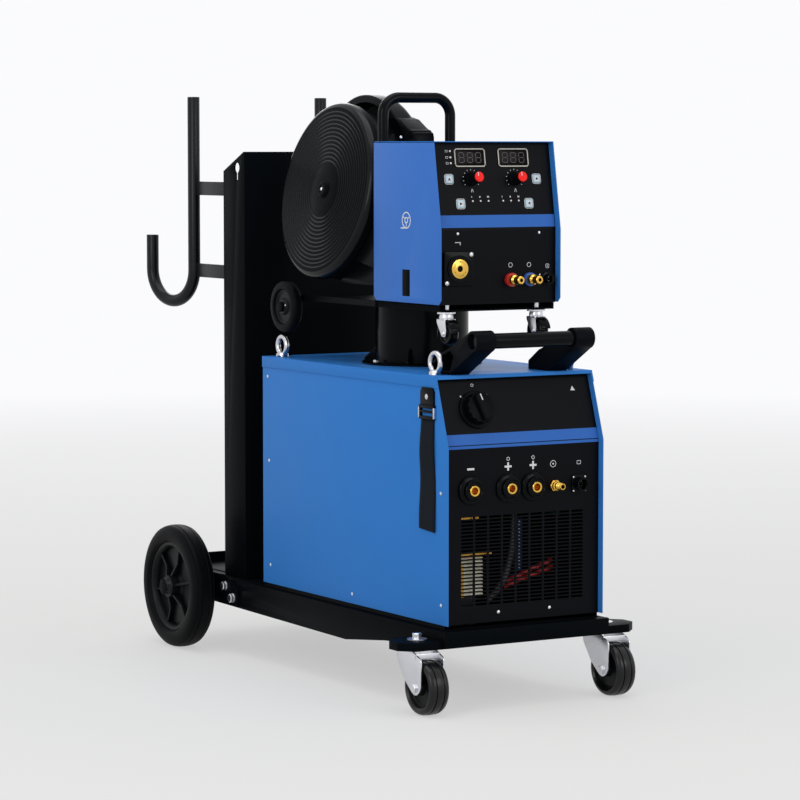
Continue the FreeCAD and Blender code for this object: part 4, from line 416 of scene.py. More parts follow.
for side, word in ((-1, "left"), (1, "right")):
    x, wheel, fork = side * caster_x, f"caster_wheel_{word}", f"caster_fork_{word}"
    centre, across = spot(x, axle_setback, axle_height), (1, 0, 0)
    tyre = stand(turned(mirrored(tyre_half), 96), centre, across)
    fit(f"caster_tyre_{word}", tyre, wheel, caster_rubber, wheel)
    hub = stand(turned(mirrored(hub_half)), centre, across)
    fit(f"caster_hub_{word}", hub, wheel, hub_plastic)
    parts = [block(spot(x - fork_outside, 37, 118.7), spot(x + fork_outside, 63, 121.7), 0.8),
             block(spot(x - fork_outside, 11, 101.6), spot(x + fork_outside, 14, 112.6), 0.8),
             stand(turned(race), spot(x, stem_setback, 121.7)), stand(rod(5, -30, 30, 24), centre, across)]
    parts += fork_legs(x, centre, leg, fork_inside, fork_sheet, 5, (15, 5), 0.2)
    finished(fork, parts, fork, zinc)

# A rear wheel: a solid rubber tyre with a ribbed tread on a black moulded rim with six spokes,
# held on the axle by a pressed zinc cap.
tyre_half = [(90, 17), (92, 20), (95, 24), (98, 25), (108, 25), (114, 24), (119, 21.5), (121.5, 19),
             (121.2, 17.5), (122.6, 16.5), (123.8, 13), (124.4, 9.5), (123.6, 8.6), (123.6, 7.6),
             (124.8, 7), (125, 3)]
rim_half = [(78, 4), (79, 9), (81, 15), (84, 18.5), (88, 19), (90.5, 18), (90.5, 15)]
web_half = [(10.1, 27), (20, 27), (22, 25), (24, 8), (30, 4), (79, 4), (79, 3)]
spoke = [(22, 4), (22, 22), (50, 12), (79.5, 14), (79.5, 4)]
cap = [(0, 30), (10, 30), (10, 34.5), (11.5, 36), (14.5, 36.3), (16, 35), (16, 27.4), (0, 27.4)]
wheel_x, axle_setback, axle_height = 228, 955, 125
for side, word in ((-1, "left"), (1, "right")):
    centre = spot(side * wheel_x, axle_setback, axle_height)
    outwards, wheel = (side, 0, 0), f"rear_wheel_{word}"
    tyre = stand(turned(mirrored(tyre_half), 128), centre, outwards)
    fit(f"rear_tyre_{word}", tyre, wheel, rubber, wheel)
    parts = [turned(mirrored(rim_half), 96), turned(mirrored(web_half), 96)]
    for number in range(6):
        for face in (-1, 1):
            outline = [Vector((r, -2.5, face * h)) / 1000 for r, h in spoke]
            rib = plate(outline, (0, 5, 0), 0, 0.8)
            parts.append(stand(rib, (0, 0, 0), roll=number * tau / 6 + 0.2))
    fit(f"rear_rim_{word}", stand(join(parts), centre, outwards), wheel, hub_plastic)
    fit(f"axle_cap_{word}", stand(turned(cap, 48), centre, outwards), "cart", zinc)

# The power source's case: folded steel sheet. Blue powder coat covers the sides and the lid;
# the base pan, the front panel and the rear panel are black.
blue_coat = surface("blue_powder_coat", (48, 113, 186), 1.3, 0.018, 0.4, patchiness=0.12, drift=0.05,
                    specular=0.03)
for node in ("left_side_panel", "right_side_panel", "top_cover"):
    pressed(node, "cart", blue_coat, 0.5)
pressed("base_pan", "cart", black_coat, 0.5)
panel_coat = surface("panel_coat", (7, 8, 13), 0.9, 0.012, 0.38, patchiness=0.08, specular=0.06)


def dress(material, *nodes):
    """Give frame nodes that stay as they are a material."""
    for node in nodes:
        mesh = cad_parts[node].data
        mesh.materials.clear()
        mesh.materials.append(material)


dress(panel_coat, "front_panel", "rear_panel")

# The lifting eyes: forged rings with a collar, bright plated. The frame's shape stays as it is,
# because a forging has no sharp edges to ease.
cast = surface("plated_forging", (205, 205, 208), 2.0, 0.02, 0.22, patchiness=0.2, drift=0.2, metallic=1.0)
pressed("eyebolts", "cart", cast, 0, smooth=50)


# The front panel's blue stripe along the bend, the case's screws and the printed signs, without words.
# What lies on a face is placed by u to the right, v up and w outwards, in millimetres.
def front_face(setback, height, lean=0.0):
    """The frame of a face that looks to the front and leans back by an angle in radians."""
    right, up = Vector((1, 0, 0)), Vector((0, sin(lean), cos(lean)))
    turn = Matrix((right, up, right.cross(up))).transposed().to_4x4()
    return Matrix.Translation(spot(0, setback, height)) @ turn


def side_face(x, setback):
    """The frame of a face on the machine's left side. On it u runs to the front."""
    turn = Matrix((Vector((0, -1, 0)), Vector((0, 0, 1)), Vector((-1, 0, 0)))).transposed().to_4x4()
    return Matrix.Translation(spot(x, setback, 0)) @ turn


def placed(face, u=0, v=0, w=0, roll=0):
    """A frame at a place on a face, rolled by an angle."""
    return face @ Matrix.Translation(Vector((u, v, w)) / 1000) @ Matrix.Rotation(roll, 4, "Z")


def lay(piece, face, u=0, v=0, w=0, roll=0):
    """Put a piece made upright at the origin on a face."""
    return settle(piece, placed(face, u, v, w, roll))


def flat(outline, thickness=0.3, rounding=0, edge=0):
    """A flat piece with a (u, v) outline, standing on the origin's plane."""
    return plate([(u / 1000, v / 1000, 0) for u, v in outline], (0, 0, thickness), rounding, edge)


def rectangle(width, height):
    """The corners of a rectangle about the origin."""
    u, v = width / 2, height / 2
    return [(-u, -v), (u, -v), (u, v), (-u, v)]


def strip(width, height, thickness=0.3, rounding=0, edge=0):
    return flat(rectangle(width, height), thickness, rounding, edge)


def disc(radius, thickness=0.3, steps=32):
    return rod(radius, 0, thickness, steps)


def hoop(inner, outer, thickness=0.3, steps=40):
    return turned([(inner, 0), (outer, 0), (outer, thickness), (inner, thickness)], steps)


def screw(radius=3.2, height=1.6):
    """A small dome-headed screw."""
    profile = [(0, 0), (radius, 0), (radius, height * 0.4), (radius * 0.72, height * 0.85), (0, height)]
    return turned(profile, 20)


def line_round(outline, width, thickness=0.3):
    """A closed line of a width that follows a convex outline."""
    parts = []
    for (u0, v0), (u1, v1) in zip(outline, outline[1:] + outline[:1]):
        along = Vector((u1 - u0, v1 - v0))
        parts.append(lay(strip(along.length + width, width, thickness), Matrix(),
                         (u0 + u1) / 2, (v0 + v1) / 2, 0, atan2(along.y, along.x)))
    return join(parts)


white_print = surface("white_print", (206, 208, 212), 0.4, 0.002, 0.5, drift=0.04, specular=0.2)
print_lift = 0.05


def print_signs(name, face, body, items):
    """Print flat shapes on a face: each item is a shape made at the origin, its u and its v."""
    fit(name, [lay(shape, face, u, v, print_lift) for shape, u, v in items], body, white_print)


source_bend, source_lean = 482.4, atan(41.6 / 125.4)
source_face = front_face(14, source_bend, source_lean)
source_front = front_face(14, 0)
minus_u, plus_places, gas_u, control_u = -112, (-32, 22), 66, 122.5
case_side = -168.3
stripe_blue = surface("stripe_blue", (50, 97, 172), 0.8, 0.008, 0.34, drift=0.04, specular=0.06)
fit("source_stripe", [lay(strip(332, 20), source_face, 0, 11.5, print_lift),
                      lay(strip(332, 5.2), source_front, 0, 479.7, print_lift)], "cart", stripe_blue)
parts = [lay(screw(), source_front, u, 176) for u in (-52, 59)]
parts += [lay(screw(3.2, 1.4), side_face(case_side, setback), 0, height) for setback, height in (
    (24, 195), (25, 398), (346, 177), (670, 196), (674, 403), (679, 569))]
fit("case_screws", parts, "cart", zinc)
items = [(strip(15, 3.6), minus_u, 440), (hoop(5.5, 6.4), gas_u, 441), (disc(1.6), gas_u, 441),
         (line_round(rectangle(8, 6), 0.8), control_u, 441)]
for u in plus_places:
    items += [(strip(15, 3.6), u, 441), (strip(3.6, 15, 0.34), u, 441), (hoop(2.5, 3.4), u, 455)]
print_signs("source_signs", source_front, "cart", items)
print_signs("source_face_signs", source_face, "cart", [
    (disc(1.6), -116, 92), (hoop(2.1, 3.0), -88, 112), (strip(1.0, 5), -60, 92),
    (flat([(-5, -4), (5, -4), (0, 4.6)]), 128, 98)])

# The main switch: a scalloped skirt on a flat disc, with a tall rounded bar across it. It stands
# a little left of upright, as it does in the photograph.
moulded = surface("black_moulding", (6, 8, 10), 0.5, 0.02, 0.4, specular=0.05)
switch_u, switch_height, switch_turn = -88, 545, radians(14)
switch_v = (switch_height - source_bend) / cos(source_lean)
switch_face = placed(source_face, switch_u, switch_v, 0.3, switch_turn)
base = turned([(0, 0), (35, 0), (35, 3.6), (33.6, 5), (0, 5)], 72)
scallops = [(28 + 1.3 * cos(14 * angle), angle) for angle in (tau * i / 168 for i in range(168))]
skirt = flat([(r * cos(angle), r * sin(angle)) for r, angle in scallops], 17, 0, 0.8)
bar = block(Vector((-9, -25.5, 20)) / 1000, Vector((9, 25.5, 32)) / 1000, 4.2, 5)
parts = [lay(base, switch_face), lay(skirt, switch_face, w=4.5), lay(bar, switch_face)]
fit("switch_knob", parts, "main_switch", moulded, "main_switch_knob")
fit("switch_mark", lay(strip(2.2, 12, 0.4), switch_face, 0, 17, 31.9), "main_switch", white_print)


# The weld sockets: a black flange and barrel round a brass bush. Then the gas coupling with its
# barb, and the square control socket with its pins.
def circle_points(radius, count):
    return [(radius * cos(tau * i / count), radius * sin(tau * i / count)) for i in range(count)]


gloss_black = surface("gloss_black", (4, 6, 8), 0.8, 0.008, 0.16, patchiness=0.06, specular=0.08)
brass = surface("turned_brass", (222, 178, 82), 1.0, 0.01, 0.24, patchiness=0.15, drift=0.15,
                metallic=1.0)
socket_height = 401.5
barrel = [(10, -20), (10, 13.4), (15.2, 13.4), (16.4, 15), (18.4, 15), (19, 14.2), (19, 6.6), (21, 5.4),
          (25, 5), (26, 4), (26, 0), (19, 0), (19, -20)]
core = [(0, -16), (6.5, -16), (6.5, 15.4), (7.2, 16), (9.4, 16), (10, 15.2), (10, -20), (0, -20)]
sockets = [placed(source_front, u, socket_height) for u in (minus_u, *plus_places)]
fit("weld_socket_barrels", [lay(turned(barrel, 64), socket) for socket in sockets], "cart",
    gloss_black, "weld_sockets")
fit("weld_socket_cores", [lay(turned(core, 48), socket) for socket in sockets], "cart", brass)
barbed = [(4, -18), (4, 33), (5.6, 33), (7, 30.4), (5.4, 29.6), (5.4, 27.6), (7, 25.2), (5.6, 24.4),
          (5.6, 22), (7, 20), (7, 16), (8.8, 14.4), (8.8, 6), (9, 5), (9, -18)]
nut = [(4.5, 0), (11.2, 0), (11.2, 9), (10.2, 10), (4.5, 10)]
gas = placed(source_front, gas_u, socket_height)
finished("gas_coupling", [lay(turned(barbed, 40), gas), lay(turned(nut, 6), gas)], "cart", brass,
         smooth=28)
control = placed(source_front, control_u, socket_height)
ring = [(10, -8), (12, -8), (12, 12), (11.4, 13.6), (12.6, 14), (12.6, 16), (9.4, 16), (9.4, 0), (0, 0),
        (0, -8)]
finished("control_socket", [lay(strip(32, 32, 2.5, 3, 0.4), control), lay(turned(ring, 48), control)],
         "cart", gloss_black)
parts = [lay(screw(1.9, 1.3), control, u, v, 2.4) for u, v in rectangle(25.2, 25.2)]
parts += [lay(disc(0.9, 5, 12), control, u, v) for u, v in circle_points(5, 6)]
fit("control_pins", parts, "cart", cast)


# The rear of the case and what stands inside: the fan, the transformer, the choke whose coil shows
# through the louvres, the board, the cables between them, and dark sheets painted as shade behind them.
def tube(points, radius):
    """A round cable through points in millimetres: x, setback, height."""
    bpy.ops.curve.primitive_bezier_curve_add()
    curve = bpy.context.object.data
    curve.splines.clear()
    line = curve.splines.new("BEZIER")
    line.bezier_points.add(len(points) - 1)
    for knot, point in zip(line.bezier_points, points):
        knot.co = spot(*point)
        knot.handle_left_type = knot.handle_right_type = "AUTO"
    curve.bevel_depth = radius / 1000
    curve.bevel_resolution = 3
    curve.use_fill_caps = True
    bpy.ops.object.convert(target="MESH")
    return bpy.context.object


dress(moulded, "mains_gland", "fan_frame", "fan_rotor")
dress(surface("varnished_winding", (120, 74, 42), 2.2, 0.3, 0.5, drift=0.3), "power_transformer")
dress(surface("lacquered_board", (30, 84, 58), 2.4, 0.02, 0.3, drift=0.2), "control_board")
laminations = surface("core_laminations", (44, 44, 47), 0.6, 0.06, 0.5, metallic=0.6)
core = block(spot(-140, 40, 152), spot(-84, 135, 276), 1.5)
fit("choke_core", core, "cart", laminations, "output_choke")
coil_tape = surface("coil_tape", (244, 240, 222), 3.0, 0.05, 0.55, drift=0.25)
turns = [block(spot(-148, 24, z), spot(-78, 141, z + 5.6), 2.4, 3)
         for z in (207 + 6.5 * i for i in range(11))]
fit("choke_coil", turns, "cart", coil_tape)
yellow = surface("yellow_tape", (240, 178, 52), 3.0, 0.02, 0.5, drift=0.15)
tapes = [block(spot(-149, 21, 280), spot(-62, 36, 285)), block(spot(-149, 21, 347), spot(-90, 36, 352)),
         block(spot(-134, 22.6, 206), spot(-121, 38, 266))]
fit("choke_tapes", tapes, "cart", yellow)
wrap = surface("cable_wrap", (52, 50, 52), 3.0, 0.3, 0.45, drift=0.4)
cable = tube([(-6, 34, 360), (-11, 29, 312), (-19, 28, 268), (-38, 29, 222), (-60, 36, 196)], 6)
fit("wrapped_cable", cable, "cart", wrap, smooth=60)
red_skin = surface("red_cable_skin", (168, 30, 26), 2.0, 0.02, 0.4)
leads = [tube([(-24, 42, 226), (4, 32, 238), (36, 30, 250), (64, 33, 257), (84, 50, 258)], 4),
         tube([(-20, 46, 216), (10, 36, 229), (40, 31, 239), (66, 34, 245), (86, 50, 246)], 4)]
fit("red_cables", leads, "cart", red_skin, smooth=60)
strip_blue = surface("inner_strip_blue", (26, 48, 82), 1.0, 0.01, 0.4, specular=0.1)
fit("inner_strip", block(spot(1, 33, 247), spot(11, 36, 342), 0.4), "cart", strip_blue)
pips = [block(spot(3.4, 32.2, z), spot(5.4, 33, z + 2), 0.3) for z in (250 + 6.6 * i for i in range(14))]
fit("strip_pips", pips, "cart", white_print)
# Painted shade: a near-black sheet along the inside of the right side and one across the back stand for the
# dim inside of the case behind the louvres. The same material paints the shade in the torch socket's bores.
painted_shade = surface("painted_shade", (9, 9, 10), 1.0, 0.01, 0.6, specular=0.15)
shade_sheets = [block(spot(158, 30, 172), spot(159.4, 330, 470), 0.3),
         block(spot(-60, 330, 172), spot(159.4, 331.4, 470), 0.3)]
fit("inner_shade_sheet", shade_sheets, "cart", painted_shade)

# The hold-down strap on the left side: a screwed plate, a buckle with wire loops, and webbing that
# hangs in two layers with a nearly square end.
strap_face = side_face(case_side, 68)
mount = flat([(-23, 555), (23, 555), (23, 580), (17, 587), (-17, 587), (-23, 580)], 4.0, 2, 0.6)
parts = [lay(mount, strap_face)]
parts += [lay(strip(52, h, 5.5, 1.5, 0.8), strap_face, 0, v) for v, h in ((552, 6), (543, 4), (532, 6))]
parts += [lay(strip(5, 26, 5.0, 1, 0.6), strap_face, u, 542) for u in (-23.5, 23.5)]
fit("strap_mount", parts, "cart", moulded, "carry_strap")
parts = [lay(strip(3, 20, 6.2, 1, 0.8), strap_face, u, 541) for u in (-25.8, 25.8)]
fit("strap_loops", parts + [lay(screw(5, 2.2), strap_face, 0, 570, 4.0)], "cart", cast)
strap_top, strap_thickness = 529, 1.6


def webbing(width_top, width_low, length, lift, slant, shift=0.0):
    """A hanging band that widens, waves a little and ends in a slightly slanted cut."""
    bpy.ops.mesh.primitive_grid_add(x_subdivisions=6, y_subdivisions=26, size=1)
    piece = bpy.context.object
    for vertex in piece.data.vertices:
        across, down = vertex.co.x, 0.5 - vertex.co.y
        width = width_top + (width_low - width_top) * min(1, down * 1.4)
        drop = down * length + down * slant * across
        wave = 1.6 * sin(down * 8.5) + 1.1 * sin(down * 4 + 1.2) + 1.6
        vertex.co = Vector((across * width + shift * down, strap_top - drop,
                            lift + wave * min(1, down * 3))) / 1000
    lay(piece, strap_face)
    bpy.ops.object.modifier_add(type="SOLIDIFY")
    piece.modifiers[-1].thickness = strap_thickness / 1000
    bpy.ops.object.modifier_apply(modifier=piece.modifiers[-1].name)
    return ease(piece, 0.3, 1, 60)


weave = surface("webbing_weave", (10, 17, 25), 1.6, 0.25, 0.7, drift=0.25, specular=0.08)
bands = [webbing(44, 54, 202, 2.2, 4), webbing(40, 46, 186, 0.9, 6, -6)]
fit("strap_webbing", bands, "cart", weave, smooth=60)

# The swivel post: a turned tube on a foot plate with four gussets, in gloss black, held by four zinc
# bolts. The feeder turns on the pin at its top.
post_setback, foot_top = 370, 612.8
post_foot = spot(0, post_setback, 0)
post = [(20, 745.6), (20, 719.7), (86.5, 719.7), (89, 717.5), (89, foot_top), (112, foot_top), (115, 611),
        (115, 607.8), (84, 607.8), (84, 714.7), (0, 714.7), (0, 745.6)]
parts = [stand(turned(post, 128), post_foot)]
gusset = [(87, 612), (113.5, 612), (113.5, 616), (90, 640), (87, 640)]
for turn in (45, 135, 225, 315):
    rib = plate([Vector((x, -2.5, z)) / 1000 for x, z in gusset], (0, 5, 0), 1, 0.7)
    parts.append(stand(rib, post_foot, roll=radians(turn)))
post_coat = surface("post_coat", (4, 6, 9), 1.0, 0.008, 0.2, patchiness=0.08, specular=0.06)
finished("swivel_post", parts, "cart", post_coat)
bolts = [stand(hex_head(10, 4), spot(x, post_setback + y, foot_top)) for x, y in circle_points(102, 4)]
fit("post_bolts", bolts, "cart", zinc)

# The push handle: two ribbed mouldings with a gloss black tube between them. The mouldings are
# duller than the tube and have rounder edges than the sheet.
bracket_plastic = surface("bracket_plastic", (6, 9, 13), 0.9, 0.05, 0.45, patchiness=0.15, specular=0.03)
pressed("handle_brackets", "cart", bracket_plastic, 1.2, 3)
grip = turned([(0, -120), (13, -120), (14, -119), (14, 119), (13, 120), (0, 120)], 48)
grip = stand(grip, spot(0, -13, 672), (1, 0, 0))
finished("handle_tube", grip, "cart", gloss_black)

# The feeder's chassis, wheels and casters. The wheels have a grooved tyre on a dished hub; each
# caster has a zinc plate and a glossy black hood over twin discs.
pressed("feeder_base", "feeder", black_coat, 0.5)
tyre_half = [(33, 4), (35, 9.6), (37, 11), (45.5, 11), (48, 9.6), (49.4, 7.6), (48.6, 6.8),
             (49.6, 5.6), (50, 2.5)]
hub_half = [(6.1, 11), (13, 11), (15, 9.5), (17, 5), (30, 4), (33, 6), (34, 3)]
head = [(6, 0), (17, 0), (17, 3), (16, 4), (6, 4)]
race = [(6.2, 0), (12, 0), (13, 3), (13, 8), (12, 13), (6.2, 13)]
leg = [(106, 674), (118, 674), (136, 700), (136, 706), (108, 706), (103, 684)]
roll_half = [(3.1, 9), (9, 9), (10, 7.5), (15, 7), (16, 9), (18, 9), (20.4, 7), (21, 4)]
wheel_x, wheel_setback, wheel_height, caster_x = 141, 652, 707, 98
axle_setback, axle_height, stem_setback, fork_inside, fork_sheet = 112, 680, 122, 10.2, 2
fork_outside = fork_inside + fork_sheet
angles = [radians(degrees) for degrees in range(-20, 171, 10)]
hood = [(axle_setback + r * cos(a), axle_height + r * sin(a))
        for r, run in ((26, angles), (23, angles[::-1])) for a in run]
for side, word in ((-1, "left"), (1, "right")):
    centre = spot(side * wheel_x, wheel_setback, wheel_height)
    outwards, wheel = (side, 0, 0), f"feeder_wheel_{word}"
    tyre = stand(turned(mirrored(tyre_half), 96), centre, outwards)
    fit(f"feeder_tyre_{word}", tyre, wheel, rubber, wheel)
    hub = stand(turned(mirrored(hub_half)), centre, outwards)
    fit(f"feeder_hub_{word}", hub, wheel, hub_plastic)
    dots = [stand(screw(1.7, 1), centre + Vector((side * 9.8, 14 * cos(a), 14 * sin(a))) / 1000, outwards)
            for a in (0.5, 2.9)]
    fit(f"feeder_hub_dots_{word}", dots, wheel, white_print)
    x, fork, wheel = side * caster_x, f"feeder_caster_fork_{word}", f"feeder_caster_wheel_{word}"
    axle, stem, across = spot(x, axle_setback, axle_height), spot(x, stem_setback, 715.7), (1, 0, 0)
    parts = [stand(turned(head, 40), stem), stand(turned(race, 40), spot(x, stem_setback, 702.4)),
             stand(rod(6, 0, 16, 24), stem), stand(rod(3, -12.4, 12.4, 16), axle, across),
             block(spot(x - fork_outside, 108, 703.6), spot(x + fork_outside, 136, 706), 0.5)]
    parts += fork_legs(x, axle, leg, fork_inside, fork_sheet, 3, (8, 2.4))
    finished(fork, parts, fork, zinc)
    cover = plate([spot(x - 9.6, y, z) for y, z in hood], (19.2, 0, 0), 0, 0.7)
    fit(f"feeder_caster_hood_{word}", cover, fork, gloss_black)
    fit(f"feeder_caster_roll_{word}", stand(turned(mirrored(roll_half)), axle, across), wheel, gloss_black,
        wheel)

# The feeder's case: blue sheet over the top and the right, a blue door on the left with its sunk
# latch and a small sign, and the bent black front panel.
pressed("feeder_shell", "feeder", blue_coat, 0.5)
door_coat = surface("door_powder_coat", (57, 106, 182), 1.3, 0.018, 0.34, patchiness=0.12, drift=0.05,
                    specular=0.06)
pressed("feeder_door", "feeder_door", door_coat, 0.5)
pressed("door_latch", "door_latch", black_coat, 0.6)
dress(panel_coat, "feeder_front_panel")


def ray(width, height, radius, angle):
    """A short strip that points away from the origin, at a distance and an angle."""
    return lay(strip(width, height), Matrix.Rotation(angle, 4, "Z"), radius)


items = [(ray(8.5, 1.6, 9.8, angle), 3, 885) for angle in (0.5, 2.6, 4.7)]
items += [(hoop(13.5, 15.5, 0.3, 48), 3, 885), (hoop(4, 6, 0.3, 32), 3, 885), (strip(14, 2.0), -10, 870.5)]
print_signs("reel_sign", side_face(-130, 213.5), "feeder_door", items)


# The fascia: a blue stripe under the controls, two framed display windows, two red-capped knobs,
# four square buttons, small lamps and printed signs.
def octagon(width, height, cut):
    """The corners of a rectangle about the origin, each cut off."""
    u, v = width / 2, height / 2
    return [(-u, cut - v), (cut - u, -v), (u - cut, -v), (u, cut - v),
            (u, v - cut), (u - cut, v), (cut - u, v), (-u, v - cut)]


feeder_bend, feeder_lean = 868, atan(26 / 162)
feeder_face = front_face(103, feeder_bend, feeder_lean)
feeder_front = front_face(103, 0)
slope = 1 / cos(feeder_lean)
display_v, knob_v, knob_places = 133.7, 93 * slope, (-47, 47)
fit("feeder_stripe", lay(strip(254, 23), feeder_face, 0, 16.2, print_lift), "feeder", stripe_blue)
frames, windows, digits = [], [], []
bars = [(0, 9, 9, 1.3), (0, 0, 9, 1.3), (0, -9, 9, 1.3)]
bars += [(u, v, 1.3, 7) for u in (-5.4, 5.4) for v in (4.5, -4.5)]
for u in knob_places:
    display = placed(feeder_face, u, display_v)
    frames.append(lay(line_round(octagon(64, 32, 3), 2.0), display, w=1.3))
    windows.append(lay(strip(67, 32, 1.2, 2.5, 0.3), display))
    digits += [lay(strip(width, height, 0.1), display, place + bar_u, bar_v, 1.22)
               for place in (-18, 0, 18) for bar_u, bar_v, width, height in bars]
beige = surface("frame_print", (186, 182, 172), 0.5, 0.004, 0.5, drift=0.04, specular=0.2)
window = surface("smoked_window", (10, 8, 9), 0.6, 0.004, 0.12, drift=0.02, specular=0.05)
segment = surface("unlit_segment", (38, 26, 27), 0.6, 0.004, 0.3, drift=0.02)
finished("display_windows", windows, "feeder", window)
fit("display_frames", frames, "feeder", beige)
fit("display_segments", digits, "feeder", segment)

red_cap = surface("red_cap", (232, 34, 30), 0.6, 0.004, 0.28, drift=0.04, specular=0.1)
skirt = [(0, 0.3), (13, 0.3), (13, 4), (12, 5.4), (10.8, 9), (9.8, 26), (9.2, 27.4), (0, 27.4)]
cap = [(0, 27.2), (9.2, 27.2), (9.2, 29), (8.4, 30), (0, 30)]
for u, knob in zip(knob_places, ("left_knob", "right_knob")):
    place = placed(feeder_face, u, knob_v)
    finished(knob, [lay(turned(skirt, 48), place), lay(rod(3, -8, 1, 16), place)], knob, moulded)
    fit(knob + "_cap", lay(turned(cap, 40), place), knob, red_cap)
    fit(knob + "_line", lay(strip(1.4, 6.5, 0.2), place, -2.6, 5.0, 30), knob, white_print)

button_grey = surface("button_grey", (172, 196, 208), 0.5, 0.01, 0.4, drift=0.04, specular=0.2)
triangle = [(-3, -2.4), (3, -2.4), (0, 3)]
for name, u, v, quarter in (("button_upper_left", -95, 93, 0), ("button_upper_right", 95, 93, None),
                            ("button_lower_left", -74, 48, 1), ("button_lower_right", 74, 48, 3)):
    place = placed(feeder_face, u, v * slope)
    finished(name, lay(strip(15, 15, 5.5, 2.2, 0.6), place, w=-4.0), name, button_grey)
    fit(name + "_field", lay(disc(4.4, 0.1, 24), place, w=1.45), name, white_print)
    if quarter is None:
        mark = lay(disc(2.2, 0.15, 20), place, w=1.5)
    else:
        mark = lay(flat(triangle, 0.15), place, w=1.5, roll=-quarter * pi / 2)
    fit(name + "_mark", mark, name, moulded)
    ring = lay(line_round(octagon(18, 18, 2.5), 1.0, 0.25), place, w=print_lift)
    fit(name + "_ring", ring, "feeder", white_print)

lamp_white = surface("lamp_lens", (198, 200, 200), 0.5, 0.004, 0.25, drift=0.03)
column_heights, row_places = (144, 132.6, 122), (-48, -31, -14, 18, 35, 52)
lamps = [lay(disc(1.8, 1.2, 20), feeder_face, -88.6, height * slope) for height in column_heights]
lamps += [lay(disc(1.6, 1.2, 20), feeder_face, u, 53 * slope) for u in row_places]
fit("signal_lamps", lamps, "feeder", lamp_white)
items = [(line_round(rectangle(4.8, 3.2), 0.6), -96, height * slope) for height in column_heights]
for number, u in enumerate(row_places):
    items += [(strip(0.8, 3.2), u - 1.5 + bar * 1.5, 60.5 * slope) for bar in range(number % 3 + 1)]
for u in knob_places:
    items += [(ray(2.2, 0.8, 17.5, radians(215 - 25 * tick)), u, knob_v) for tick in range(11)]
    items += [(flat([(side * 2.6, -3), (side * 1.6, -3), (0, 3.2), (side * 0.8, 3.2)]), u, 72 * slope)
              for side in (-1, 1)]
print_signs("fascia_print", feeder_face, "feeder", items)
fit("fascia_screws", [lay(screw(2.6, 1.2), feeder_front, u, 862) for u in (-85, 92)], "feeder", zinc)

# The torch's central socket: a square black flange with two screws round a brass face. Flat dark discs
# on the face are painted shade where the bore for the guide tube and the smaller ones for the gas and the
# switch's pins would be.
torch_u, torch_height = -85, 798
torch = placed(feeder_front, torch_u, torch_height)
fit("euro_flange_finished", [lay(strip(63, 63, 5, 4, 1.0), torch), lay(hoop(17.6, 25, 8, 64), torch)],
    "feeder", gloss_black)
face = [(5.5, -50), (5.5, 9), (6.3, 9.6), (12, 9.6), (13, 9), (17.4, 8.4), (17.4, 4), (14, 4), (14, -53),
        (5.5, -53)]
fit("euro_face", lay(turned(face), torch), "feeder", brass, "euro_socket")
# Painted shade: flat dark discs laid just over the brass face stand for the shade down the bores.
hole_shades = [lay(disc(r, 0.3, 24), torch, u, v, 9.2) for u, v, r in (
    (0, 11.5, 2.6), (-10, -5.5, 1.7), (10, -5.5, 1.7))]
fit("euro_hole_shade", hole_shades, "feeder", painted_shade)
fit("euro_screws", [lay(screw(4.2, 1.8), torch, u, u, 5) for u in (26, -26)], "feeder", cast)

# The coolant couplings, one marked red and one blue, and the remote control socket. The signs above
# them and above the torch's socket are plain shapes.
steel = surface("turned_steel", (188, 186, 182), 1.0, 0.008, 0.28, metallic=1.0, patchiness=0.15)
coupling_height, remote_u = 776, 110
sleeve = [(3.5, -18), (3.5, 38), (6.2, 38), (7.5, 36.6), (7.5, 27), (6.6, 26), (6.6, 21), (7.5, 20),
          (9.5, 18), (9.5, 0), (7.5, 0), (7.5, -18)]
couplings = ((29, (168, 26, 28)), (69.5, (40, 84, 168)))
sleeves = [lay(turned(sleeve, 48), feeder_front, u, coupling_height) for u, _ in couplings]
finished("coolant_couplings", sleeves, "feeder", brass)
for u, colour in couplings:
    name = f"coupling_ring_{round(u)}"
    ring = lay(hoop(9.5, 12.6, 7, 48), feeder_front, u, coupling_height, 0.2)
    fit(name, ring, "feeder", surface(name, colour, 0.6, 0.01, 0.3, drift=0.03))
remote = placed(feeder_front, remote_u, coupling_height)
shell = [(6.5, -6), (6.5, 12), (9.5, 12), (9.5, 3), (13.2, 2.4), (13.2, 0), (9.5, 0), (9.5, -10), (0, -10),
         (0, -6)]
finished("remote_socket", lay(turned(shell, 48), remote), "feeder", gloss_black)
parts = [lay(disc(0.9, 5, 12), remote, u, v, -1) for u, v in circle_points(3.6, 5)]
parts += [lay(screw(1.7, 1), remote, -16.5, v, 0.3) for v in (8, -8)]
fit("remote_pins", parts, "feeder", cast)
items = [(hoop(3.6, 4.4), u, 803) for u, _ in couplings]
items += [(line_round(rectangle(6.8, 6.8), 0.8), remote_u, 800), (strip(1.0, 3.6), remote_u, 800),
          (strip(12, 1.2), torch_u, 846), (strip(1.2, 5), torch_u + 5, 843.5)]
print_signs("connector_print", feeder_front, "feeder", items)

# The wire drive behind the door: a cast plate with the motor, the drive roll and the sprung arm.
# It shows only when the door is open, so it keeps the frame's shape.
dress(surface("die_casting", (150, 152, 156), 1.6, 0.03, 0.4, metallic=1.0, patchiness=0.2), "drive_unit")
dress(steel, "drive_roll")

# The feeder's handle: a black tube with two bends, whose ends stand on the case's top.
# It is a little glossier than the case.
handle_setback, case_top, z_bend = 314, 1030, 1078
rise = Vector((0, 0, (z_bend - case_top) / 1000))
bend_left, bend_right = spot(-85, handle_setback, z_bend), spot(-6, handle_setback, z_bend)
moves = [rise, (bend_left, Vector((0, 1, 0)), 90), bend_right - bend_left,
         (bend_right, Vector((0, 1, 0)), 90), -rise]
bow = bent_bar(10, spot(-119, handle_setback, case_top), moves, 36, 5)
finished("feeder_handle", bow, "feeder", gloss_black, smooth=60)

